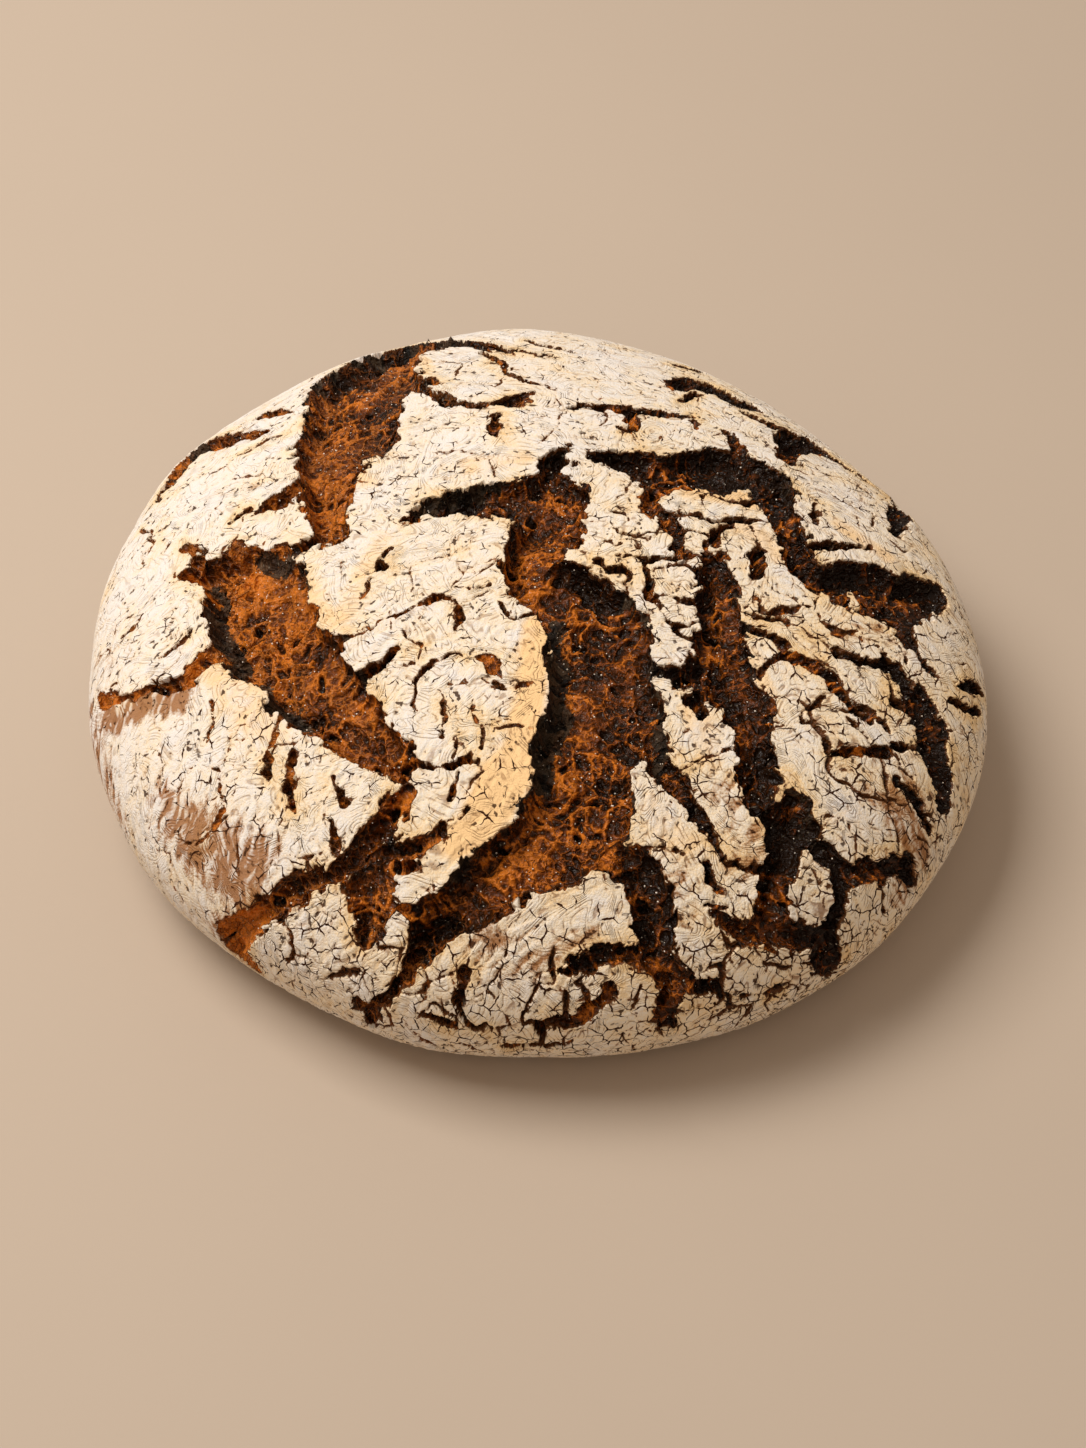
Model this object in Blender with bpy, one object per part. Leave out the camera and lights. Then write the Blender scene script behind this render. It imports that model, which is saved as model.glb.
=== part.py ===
"""A large round rye loaf: a low dome with a flat sole, whose floury crust has split wide open."""

import bmesh
import bpy
import numpy as np

# Lengths in this file are millimetres, and MM turns them into Blender's metres.
MM = 0.001

# The dome: mean radius and height of the widest girth, height of the crown, the sole's share of
# the girth radius, and how full the shoulder is, where 2 would be an ellipse.
GIRTH_RADIUS = 150.0
GIRTH_HEIGHT = 34.0
CROWN_HEIGHT = 93.0
SOLE_SHARE = 0.84
SHOULDER_FULLNESS = 2.2

# How far the outline is from a circle: cosine and sine share of the radius, by waves round.
OUTLINE_WAVES = {2: (-0.007, -0.030), 3: (0.007, -0.010), 4: (0.003, -0.001)}

# The crust's edge at a split falls over this width, and the plates between splits swell.
WALL_WIDTH = 4.5
SWELL_HEIGHT = 1.6
SWELL_SIZE = 48.0
CRUMB_HEIGHT = 1.5
CRUMB_SIZE = 9.0
SOLE_EDGE = 14.0

# Splits tear unevenly: how far their edges wander, at each size of tooth, and how far the edges of two
# splits that meet are rounded into each other.
TEAR = {13.0: 1.6, 5.5: 0.8}
ROUNDING = 1.2

# Places on the curves of the profile, the side of the table that uneven bumps are drawn from, and a
# distance farther than any on the crust.
PROFILE_PLACES = 2000
BUMP_TABLE = 64
FAR_AWAY = 1000.0

# The mesh: cells along each side of the grid it starts from, the triangles it is thinned to, and the
# angle in degrees above which an edge is a sharp one.
GRID_CELLS = 216
TRIANGLES = 11200
SHARP_ANGLE = 50.0

# The splits. Each has its depth, then stations along its middle: across the loaf to the right,
# away to the far side, and half its width, measured over the crust from the crown.
SPLITS = {
    "far left canyon": (7.5, (-45, 131, 6.5), (-48, 120, 13), (-55, 104, 17), (-58, 88, 19), (-61, 70, 17.5),
                        (-62, 52, 16.5), (-67, 40, 10.5), (-67, 25, 8.5), (-66, 12, 6.5)),
    "its branch along the far rim": (6, (-40, 121, 7), (-30, 119, 5.5), (-21, 116, 4.5), (-12, 112, 3),
                                     (0, 109.5, 2), (8, 108, 1)),
    "its foot": (4, (-66, 10, 4), (-76, 5, 3), (-88, 2, 2.5), (-96, 1, 3)),
    "notch in its right edge": (4, (-43, 88, 4), (-32, 82, 2)),
    "left canyon": (8, (-116, 6, 4), (-105, 1, 8), (-92, -10, 17.5), (-88, -22, 18.5), (-85, -33, 17),
                    (-78, -44, 14.5), (-70, -56, 14.5), (-60, -68, 11), (-49, -79, 8), (-40, -89, 4.5)),
    "its tail round the front": (5.5, (-38, -96, 3), (-45, -105, 4.5), (-54, -113, 4), (-64, -118, 3.4),
                                 (-74, -121, 3.5), (-84, -126, 4.5), (-96, -130, 5), (-108, -134, 7),
                                 (-113, -142, 6), (-111, -149, 4)),
    "its branch to the left rim": (3.5, (-104, -36, 4), (-111, -41, 4.5), (-121, -43, 2.6), (-131, -42, 1.6),
                                   (-142, -40, 1.8), (-150, -35, 2.6), (-154, -32, 1.4)),
    "pocket beside its tail": (5, (-44, -118, 4), (-50, -124, 7.5), (-51, -132, 7.5), (-54, -138, 4)),
    "far arm of the middle canyon": (6.5, (-43, 9.5, 1.0), (-38, 13, 2.2), (-30, 17.5, 4.3), (-20, 18, 6.5),
                                     (-10, 16.5, 8.5), (2, 18, 9), (10, 19, 8), (18, 20, 3.5)),
    "spur above it": (5.5, (6, 26, 5), (8, 36, 5), (12, 43, 2)),
    "middle canyon": (8.5, (4, 16, 10), (7, 6, 11.5), (-1, -8, 9.5), (2, -17, 11), (12, -26, 13.5),
                      (20, -38, 15.5), (21.5, -52, 17), (21, -68, 17.5), (16, -84, 15), (14.5, -97, 15.5),
                      (9, -109, 14.5), (-3, -118, 11.5), (-15, -126, 10.5), (-27, -135, 8.5),
                      (-35, -142, 6), (-40, -148, 3.5)),
    "slot between its front plates": (5, (36, -76, 5), (41, -86, 4.5), (45, -93, 3.5), (51, -103, 2)),
    "its right foot": (5.5, (24, -114, 6), (31, -119, 6), (36, -127, 6.5), (37.5, -137, 7), (39, -147, 5.5),
                       (44, -154, 5), (44, -163, 4), (47, -171, 2)),
    "front gap to the left": (3.5, (36, -146, 4), (25, -146, 3), (17, -148, 3.2), (11, -152, 1.8)),
    "front gap to the right": (3.5, (44, -152, 3.5), (52, -153, 3.5), (59, -153, 3), (64, -157, 1.5)),
    "right canyon": (6.5, (56, -9, 4.5), (57, -20, 7.5), (57, -31, 7.5), (56, -41, 7), (60, -52, 8.5),
                     (65, -62, 7), (67, -72, 6.5), (68, -84, 6.5), (73, -94, 8), (79, -101, 8.5),
                     (77, -109, 6.5), (74, -118, 5), (73, -127, 4.5)),
    "link to the middle canyon": (5.5, (54, -46, 5), (46, -53, 5), (38, -54, 5)),
    "right arm": (7, (20, 40, 2.2), (29, 39.5, 4.5), (38, 39, 8.5), (50, 38, 12), (61, 40, 13.5),
                  (72, 43, 12), (82, 40, 10.5), (84, 28, 8), (85.5, 15, 7.2), (87, 5, 5), (89, -5, 7),
                  (98, -9, 8.5), (108, -8, 13), (118, -7, 13), (126, -3, 9.5), (135, 3, 7.5), (142, 7, 3)),
    "spur above it on the right": (4, (74, 52, 4), (73, 60, 3.2), (72, 66, 2.2)),
    "gap below it": (3.5, (42, 24, 4.5), (41, 16, 3.5), (45, 9, 3.2), (47, 2, 3), (46, -6, 2.5)),
    "slot past its end": (3.5, (118, -18, 5), (122, -27, 3), (130, -34, 1.4)),
    "right rim canyon": (5, (117, -38, 3), (121, -47, 5), (127, -58, 7), (132, -68, 6.5), (135, -79, 4.5)),
    "far right pocket": (5.5, (93, 57, 4.5), (94, 66, 5.5), (99, 75, 9), (107, 77, 5), (114, 70, 2.5),
                         (122, 64, 2)),
    "far rim pocket": (4.5, (52, 98, 3.5), (58, 103, 6.5), (68, 101, 6), (78, 98, 5), (86, 95, 2)),
    "long far crack": (4, (12, 67, 1.6), (24, 71, 2.4), (33, 72, 3.4), (46, 73, 2.8), (58, 75, 2)),
    "right rim cleft": (5, (142, 62, 6), (135, 49, 5), (130, 38, 3.5), (127, 28, 2.5)),
    "far left rim pocket": (5.5, (-130, 67, 5), (-123, 82, 8), (-113, 80, 7), (-102, 75, 4.5),
                            (-92, 73, 2.5)),
    "hole beside it": (4, (-94, 89, 3), (-88, 87, 3.8), (-83, 83, 1.2)),
    "far plate crack": (3.5, (-34, 76, 1.8), (-26, 70, 2), (-15, 67, 1.6), (-5, 69.5, 3.4), (1, 75, 1.6)),
    "crack across the middle plate": (3, (-64, -39, 1.2), (-56, -38, 0.7), (-49, -33.5, 0.8), (-42, -31, 0.8),
                                      (-33, -25.5, 1.0), (-27, -28, 0.6), (-22.5, -34, 0.8), (-23, -39, 0.4)),
    "crack below it": (3, (-37, -58, 0.8), (-34, -53, 1.1), (-27, -50.5, 0.6), (-18, -50.5, 0.5),
                       (-12.5, -52, 2.0), (-8, -58, 0.9)),
    "crack under the front plate": (3.5, (-52, -115, 2.8), (-42, -114, 2.8), (-34, -112, 3),
                                    (-27, -107, 1.4)),
    "front right pocket": (4.5, (56, -132, 3), (64, -133, 4), (74, -133, 5), (84, -134, 4.5), (91, -134, 4),
                           (98, -136, 7), (104, -141, 5)),
    "front right arm": (4, (82, -104, 4), (90, -107, 4), (97, -112, 4), (105, -110, 4), (114, -106, 4.2),
                        (124, -104.5, 4), (130, -107, 2.5)),
    "its leg": (3.5, (97, -114, 3.5), (96, -122, 4), (94, -129, 3.5)),
    "right plate gap": (3.5, (75, -42, 1.8), (83, -43, 3), (90, -47, 3), (95, -54, 2.2), (103, -59, 1.6)),
    "back split": (5, (12, 156, 3), (24, 166, 6), (40, 171, 7), (58, 165, 5), (71, 152, 2.5)),
    "back left split": (4, (-114, 118, 2.5), (-105, 132, 5), (-92, 143, 5.5), (-79, 153, 3)),
    "back right split": (4, (118, 92, 2.5), (124, 106, 4), (121, 122, 4.5), (112, 134, 2.5)),
}


def ease(t):
    """Rise smoothly from 0 to 1 as t does."""
    t = np.clip(t, 0.0, 1.0)
    return t * t * (3.0 - 2.0 * t)


def bumps(u, v, size, seed):
    """Smooth uneven bumps from -1 to 1, about size across."""
    table = np.random.default_rng(seed).uniform(-1.0, 1.0, (BUMP_TABLE, BUMP_TABLE))
    x, y = u / size, v / size
    i, j = np.floor(x).astype(int), np.floor(y).astype(int)
    fx, fy = ease(x - i), ease(y - j)
    left, right, front, back = i % BUMP_TABLE, (i + 1) % BUMP_TABLE, j % BUMP_TABLE, (j + 1) % BUMP_TABLE
    near = table[left, front] * (1 - fx) + table[right, front] * fx
    far = table[left, back] * (1 - fx) + table[right, back] * fx
    return near * (1 - fy) + far * fy


def side_profile():
    """Run from the crown over the girth to the sole's edge: distance run, share of radius, height."""
    turn = np.linspace(0.0, np.pi / 2, PROFILE_PLACES)
    share = np.concatenate([np.sin(turn) ** (2 / SHOULDER_FULLNESS),
                            SOLE_SHARE + (1 - SOLE_SHARE) * np.cos(turn[1:])])
    height = np.concatenate([GIRTH_HEIGHT + (CROWN_HEIGHT - GIRTH_HEIGHT) * np.cos(turn),
                             GIRTH_HEIGHT * (1 - np.sin(turn[1:]))])
    steps = np.hypot(np.diff(share * GIRTH_RADIUS), np.diff(height))
    return np.concatenate([[0.0], np.cumsum(steps)]), share, height


RUN, SHARE, RISE = side_profile()


def outline_radius(angle):
    """The girth radius in each direction."""
    waves = sum(c * np.cos(n * angle) + s * np.sin(n * angle) for n, (c, s) in OUTLINE_WAVES.items())
    return GIRTH_RADIUS * (1 + waves)


def on_dome(u, v):
    """The smooth dome's point for each place on the crust."""
    run, angle = np.hypot(u, v), np.arctan2(v, u)
    radius = outline_radius(angle) * np.interp(run, RUN, SHARE)
    return np.stack([radius * np.cos(angle), radius * np.sin(angle), np.interp(run, RUN, RISE)], axis=-1)


def dome_normal(u, v, step=0.5):
    """The dome's outward direction for each place on the crust."""
    across = on_dome(u + step, v) - on_dome(u - step, v)
    away = on_dome(u, v + step) - on_dome(u, v - step)
    normal = np.cross(across, away)
    return normal / np.linalg.norm(normal, axis=-1, keepdims=True)


def smooth_route(stations, pieces=4):
    """Stations joined by a smooth curve through all of them."""
    knots = np.array([stations[0], *stations, stations[-1]], dtype=float)
    route = [knots[1]]
    for a, b, c, d in zip(knots, knots[1:], knots[2:], knots[3:]):
        for t in np.linspace(0, 1, pieces + 1)[1:]:
            route.append(0.5 * (2 * b + (c - a) * t + (2 * a - 5 * b + 4 * c - d) * t ** 2
                                + (3 * b - a - 3 * c + d) * t ** 3))
    return np.array(route)


def distance_to_route(u, v, route):
    """Distance from each place to a split's edge, below zero inside it."""
    nearest = np.full(u.shape, FAR_AWAY)
    for (ua, va, wa), (ub, vb, wb) in zip(route, route[1:]):
        length = max((ub - ua) ** 2 + (vb - va) ** 2, 1e-9)
        t = np.clip(((u - ua) * (ub - ua) + (v - va) * (vb - va)) / length, 0, 1)
        gap = np.hypot(u - ua - t * (ub - ua), v - va - t * (vb - va)) - (wa + t * (wb - wa))
        nearest = np.minimum(nearest, gap)
    return nearest


def split_field(u, v):
    """Distance to the nearest split's edge, below zero inside, and the depth of the split there."""
    for seed, (size, reach) in enumerate(TEAR.items()):
        u, v = (u + reach * bumps(u, v, size, 10 + seed), v + reach * bumps(u, v, size, 20 + seed))
    closeness = np.full(u.shape, 1e-12)
    depth = np.zeros(u.shape)
    for split_depth, *stations in SPLITS.values():
        near = np.exp(np.clip(-distance_to_route(u, v, smooth_route(stations)) / ROUNDING, -20, 20))
        closeness += near
        depth += near * split_depth
    return -ROUNDING * np.log(closeness), depth / closeness


def crust_relief(u, v):
    """Height of the crust over the smooth dome, and the distance to the nearest split's edge."""
    edge, depth = split_field(u, v)
    inside = ease(-edge / WALL_WIDTH)
    swell = SWELL_HEIGHT * bumps(u, v, SWELL_SIZE, 1)
    crumb = CRUMB_HEIGHT * bumps(u, v, CRUMB_SIZE, 2)
    keep = ease((RUN[-1] - np.hypot(u, v)) / SOLE_EDGE)
    return keep * (swell - inside * depth + inside * crumb), edge


def disc_from_square(x, y):
    """A square grid's corners drawn in so that it fills a round disc evenly."""
    reach = np.maximum(np.abs(x), np.abs(y))
    ratio = np.minimum(np.abs(x), np.abs(y)) / np.maximum(reach, 1e-9)
    turn = ratio * np.pi / 4
    angle = np.where(np.abs(x) >= np.abs(y), turn, np.pi / 2 - turn)
    return reach * np.cos(angle) * np.sign(x), reach * np.sin(angle) * np.sign(y)


def crust_sheet(name, materials):
    """The crust from the crown to the sole's edge, as an open sheet thinned where it is smooth."""
    sheet = bmesh.new()
    bmesh.ops.create_grid(sheet, x_segments=GRID_CELLS, y_segments=GRID_CELLS, size=1.0)
    square = np.array([vert.co for vert in sheet.verts])
    u, v = disc_from_square(square[:, 0], square[:, 1])
    u, v = u * RUN[-1], v * RUN[-1]
    relief, edge = crust_relief(u, v)
    places = (on_dome(u, v) + relief[:, None] * dome_normal(u, v)) * MM
    for vert, place in zip(sheet.verts, places):
        vert.co = place
    for face in sheet.faces:
        torn = np.mean([edge[vert.index] for vert in face.verts]) < -WALL_WIDTH / 4
        face.material_index = 1 if torn else 0
    bmesh.ops.triangulate(sheet, faces=sheet.faces)
    mesh = bpy.data.meshes.new(name)
    sheet.to_mesh(mesh)
    for material in materials:
        mesh.materials.append(material)
    crust = bpy.data.objects.new(name, mesh)
    thin = crust.modifiers.new("thin the smooth crust", "DECIMATE")
    thin.ratio = TRIANGLES / len(sheet.faces)
    sheet.free()
    return crust


def close_sole(mesh):
    """Lay the sheet's open edge on the floor, close it with the flat sole and centre the loaf."""
    body = bmesh.new()
    body.from_mesh(mesh)
    rim = [edge for edge in body.edges if edge.is_boundary]
    for vert in {vert for edge in rim for vert in edge.verts}:
        vert.co.z = 0.0
    sole = bmesh.ops.edgeloop_fill(body, edges=rim)["faces"]
    bmesh.ops.triangulate(body, faces=sole)
    bmesh.ops.recalc_face_normals(body, faces=body.faces)
    corners = np.array([vert.co for vert in body.verts])
    middle = (corners.max(axis=0) + corners.min(axis=0)) / 2
    bmesh.ops.translate(body, vec=(-middle[0], -middle[1], 0.0), verts=body.verts)
    body.to_mesh(mesh)
    body.free()


def finish_material(name, colour, roughness):
    """A plain matte finish."""
    material = bpy.data.materials.new(name)
    material.use_nodes = True
    shader = material.node_tree.nodes["Principled BSDF"]
    shader.inputs["Base Color"].default_value = (*colour, 1.0)
    shader.inputs["Roughness"].default_value = roughness
    shader.inputs["Metallic"].default_value = 0.0
    return material


def build_loaf():
    """Make the loaf's one solid, in a collection of its own."""
    for old in list(bpy.data.objects):
        bpy.data.objects.remove(old)
    collection = bpy.data.collections.new("round rye loaf")
    bpy.context.scene.collection.children.link(collection)
    finishes = [finish_material("floury crust", (0.72, 0.60, 0.45), 0.9),
                finish_material("torn rye crumb", (0.16, 0.055, 0.016), 0.6)]
    sheet = crust_sheet("crust sheet", finishes)
    collection.objects.link(sheet)
    bpy.context.view_layer.update()
    viewed = sheet.evaluated_get(bpy.context.evaluated_depsgraph_get())
    mesh = bpy.data.meshes.new_from_object(viewed)
    bpy.data.objects.remove(sheet)
    close_sole(mesh)
    mesh.shade_smooth()
    mesh.set_sharp_from_angle(angle=np.radians(SHARP_ANGLE))
    mesh.name = "loaf"
    collection.objects.link(bpy.data.objects.new("loaf", mesh))


build_loaf()
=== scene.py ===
"""A large round rye loaf, dressed for the picture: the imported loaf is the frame, and the floury crust that
has split wide open over dark crumb, the flat sole, the loose flour and the studio are built around it."""

from functools import partial
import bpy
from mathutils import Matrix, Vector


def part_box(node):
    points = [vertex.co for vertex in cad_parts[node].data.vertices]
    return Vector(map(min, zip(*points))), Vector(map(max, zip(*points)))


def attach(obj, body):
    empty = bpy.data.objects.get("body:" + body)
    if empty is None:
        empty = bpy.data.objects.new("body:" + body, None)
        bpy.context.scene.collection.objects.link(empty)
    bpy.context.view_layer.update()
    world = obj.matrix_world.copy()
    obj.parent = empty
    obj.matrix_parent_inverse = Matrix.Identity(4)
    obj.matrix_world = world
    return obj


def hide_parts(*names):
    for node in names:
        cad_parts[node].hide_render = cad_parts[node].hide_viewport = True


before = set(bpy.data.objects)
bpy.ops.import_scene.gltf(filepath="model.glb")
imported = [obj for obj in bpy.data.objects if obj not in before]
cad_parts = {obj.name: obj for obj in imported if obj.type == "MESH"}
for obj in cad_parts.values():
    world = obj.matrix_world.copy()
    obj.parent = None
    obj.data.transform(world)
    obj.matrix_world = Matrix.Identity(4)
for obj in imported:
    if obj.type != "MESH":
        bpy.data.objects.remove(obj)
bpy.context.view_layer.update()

from types import SimpleNamespace

import bmesh
import bpy
import numpy as np
from mathutils import Matrix, Vector

bl_info = {
    "name": "Round Rye Loaf",
    "version": (1, 0, 0),
    "blender": (4, 5, 0),
    "location": "View3D > Sidebar > Rye Loaf",
    "description": "Builds the crust, sole and flour of a round rye loaf over its frame, and the studio",
    "category": "Object",
}

# Lengths in the making of the crust are millimetres, and MM turns them into Blender's metres.
MM = 0.001
LOAF_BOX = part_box("loaf")

# The dome under the crust, as the frame has it: the girth's mean radius is rounded from the frame's box.
GIRTH_RADIUS = round((LOAF_BOX[1].x - LOAF_BOX[0].x + LOAF_BOX[1].y - LOAF_BOX[0].y) / 4 / MM)
GIRTH_HEIGHT = 34.0
CROWN_HEIGHT = round((LOAF_BOX[1].z - LOAF_BOX[0].z) / MM)
SOLE_SHARE = 0.84
SHOULDER_FULLNESS = 2.2

# How far the outline is from a circle: cosine and sine share of the radius, by waves round.
OUTLINE_WAVES = {2: (-0.007, -0.030), 3: (0.007, -0.010), 4: (0.003, -0.001)}

# The splits, as the frame has them. Each has its depth, then stations along its middle: across the loaf to
# the right, away to the far side, and half its width, measured over the crust from the crown.
SPLITS = {
    "far left canyon": (7.5, (-45, 131, 6.5), (-48, 120, 13), (-55, 104, 17), (-58, 88, 19), (-61, 70, 17.5),
                        (-62, 52, 16.5), (-67, 40, 10.5), (-67, 25, 8.5), (-66, 12, 6.5)),
    "its branch along the far rim": (6, (-40, 121, 7), (-30, 119, 5.5), (-21, 116, 4.5), (-12, 112, 3),
                                     (0, 109.5, 2), (8, 108, 1)),
    "its foot": (4, (-66, 10, 4), (-76, 5, 3), (-88, 2, 2.5), (-96, 1, 3)),
    "notch in its right edge": (4, (-43, 88, 4), (-32, 82, 2)),
    "left canyon": (8, (-116, 6, 4), (-105, 1, 8), (-92, -10, 17.5), (-88, -22, 18.5), (-85, -33, 17),
                    (-78, -44, 14.5), (-70, -56, 14.5), (-60, -68, 11), (-49, -79, 8), (-40, -89, 4.5)),
    "its tail round the front": (5.5, (-38, -96, 3), (-45, -105, 4.5), (-54, -113, 4), (-64, -118, 3.4),
                                 (-74, -121, 3.5), (-84, -126, 4.5), (-96, -130, 5), (-108, -134, 7),
                                 (-113, -142, 6), (-111, -149, 4)),
    "its branch to the left rim": (3.5, (-104, -36, 4), (-111, -41, 4.5), (-121, -43, 2.6), (-131, -42, 1.6),
                                   (-142, -40, 1.8), (-150, -35, 2.6), (-154, -32, 1.4)),
    "pocket beside its tail": (5, (-44, -118, 4), (-50, -124, 7.5), (-51, -132, 7.5), (-54, -138, 4)),
    "far arm of the middle canyon": (6.5, (-43, 9.5, 1.0), (-38, 13, 2.2), (-30, 17.5, 4.3), (-20, 18, 6.5),
                                     (-10, 16.5, 8.5), (2, 18, 9), (10, 19, 8), (18, 20, 3.5)),
    "spur above it": (5.5, (6, 26, 5), (8, 36, 5), (12, 43, 2)),
    "middle canyon": (8.5, (4, 16, 10), (7, 6, 11.5), (-1, -8, 9.5), (2, -17, 11), (12, -26, 13.5),
                      (20, -38, 15.5), (21.5, -52, 17), (21, -68, 17.5), (16, -84, 15), (14.5, -97, 15.5),
                      (9, -109, 14.5), (-3, -118, 11.5), (-15, -126, 10.5), (-27, -135, 8.5), (-35, -142, 6),
                      (-40, -148, 3.5)),
    "slot between its front plates": (5, (36, -76, 5), (41, -86, 4.5), (45, -93, 3.5), (51, -103, 2)),
    "its right foot": (5.5, (24, -114, 6), (31, -119, 6), (36, -127, 6.5), (37.5, -137, 7), (39, -147, 5.5),
                       (44, -154, 5), (44, -163, 4), (47, -171, 2)),
    "front gap to the left": (3.5, (36, -146, 4), (25, -146, 3), (17, -148, 3.2), (11, -152, 1.8)),
    "front gap to the right": (3.5, (44, -152, 3.5), (52, -153, 3.5), (59, -153, 3), (64, -157, 1.5)),
    "right canyon": (6.5, (56, -9, 4.5), (57, -20, 7.5), (57, -31, 7.5), (56, -41, 7), (60, -52, 8.5),
                     (65, -62, 7), (67, -72, 6.5), (68, -84, 6.5), (73, -94, 8), (79, -101, 8.5),
                     (77, -109, 6.5), (74, -118, 5), (73, -127, 4.5)),
    "link to the middle canyon": (5.5, (54, -46, 5), (46, -53, 5), (38, -54, 5)),
    "right arm": (7, (20, 40, 2.2), (29, 39.5, 4.5), (38, 39, 8.5), (50, 38, 12), (61, 40, 13.5),
                  (72, 43, 12), (82, 40, 10.5), (84, 28, 8), (85.5, 15, 7.2), (87, 5, 5), (89, -5, 7),
                  (98, -9, 8.5), (108, -8, 13), (118, -7, 13), (126, -3, 9.5), (135, 3, 7.5), (142, 7, 3)),
    "spur above it on the right": (4, (74, 52, 4), (73, 60, 3.2), (72, 66, 2.2)),
    "gap below it": (3.5, (42, 24, 4.5), (41, 16, 3.5), (45, 9, 3.2), (47, 2, 3), (46, -6, 2.5)),
    "slot past its end": (3.5, (118, -18, 5), (122, -27, 3), (130, -34, 1.4)),
    "right rim canyon": (5, (117, -38, 3), (121, -47, 5), (127, -58, 7), (132, -68, 6.5), (135, -79, 4.5)),
    "far right pocket": (5.5, (93, 57, 4.5), (94, 66, 5.5), (99, 75, 9), (107, 77, 5), (114, 70, 2.5),
                         (122, 64, 2)),
    "far rim pocket": (4.5, (52, 98, 3.5), (58, 103, 6.5), (68, 101, 6), (78, 98, 5), (86, 95, 2)),
    "long far crack": (4, (12, 67, 1.6), (24, 71, 2.4), (33, 72, 3.4), (46, 73, 2.8), (58, 75, 2)),
    "right rim cleft": (5, (142, 62, 6), (135, 49, 5), (130, 38, 3.5), (127, 28, 2.5)),
    "far left rim pocket": (5.5, (-130, 67, 5), (-123, 82, 8), (-113, 80, 7), (-102, 75, 4.5),
                            (-92, 73, 2.5)),
    "hole beside it": (4, (-94, 89, 3), (-88, 87, 3.8), (-83, 83, 1.2)),
    "far plate crack": (3.5, (-34, 76, 1.8), (-26, 70, 2), (-15, 67, 1.6), (-5, 69.5, 3.4), (1, 75, 1.6)),
    "crack across the middle plate": (3, (-64, -39, 1.2), (-56, -38, 0.7), (-49, -33.5, 0.8), (-42, -31, 0.8),
                                      (-33, -25.5, 1.0), (-27, -28, 0.6), (-22.5, -34, 0.8), (-23, -39, 0.4)),
    "crack below it": (3, (-37, -58, 0.8), (-34, -53, 1.1), (-27, -50.5, 0.6), (-18, -50.5, 0.5),
                       (-12.5, -52, 2.0), (-8, -58, 0.9)),
    "crack under the front plate": (3.5, (-52, -115, 2.8), (-42, -114, 2.8), (-34, -112, 3),
                                    (-27, -107, 1.4)),
    "front right pocket": (4.5, (56, -132, 3), (64, -133, 4), (74, -133, 5), (84, -134, 4.5), (91, -134, 4),
                           (98, -136, 7), (104, -141, 5)),
    "front right arm": (4, (82, -104, 4), (90, -107, 4), (97, -112, 4), (105, -110, 4), (114, -106, 4.2),
                        (124, -104.5, 4), (130, -107, 2.5)),
    "its leg": (3.5, (97, -114, 3.5), (96, -122, 4), (94, -129, 3.5)),
    "right plate gap": (3.5, (75, -42, 1.8), (83, -43, 3), (90, -47, 3), (95, -54, 2.2), (103, -59, 1.6)),
    "back split": (5, (12, 156, 3), (24, 166, 6), (40, 171, 7), (58, 165, 5), (71, 152, 2.5)),
    "back left split": (4, (-114, 118, 2.5), (-105, 132, 5), (-92, 143, 5.5), (-79, 153, 3)),
    "back right split": (4, (118, 92, 2.5), (124, 106, 4), (121, 122, 4.5), (112, 134, 2.5)),
}
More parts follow.
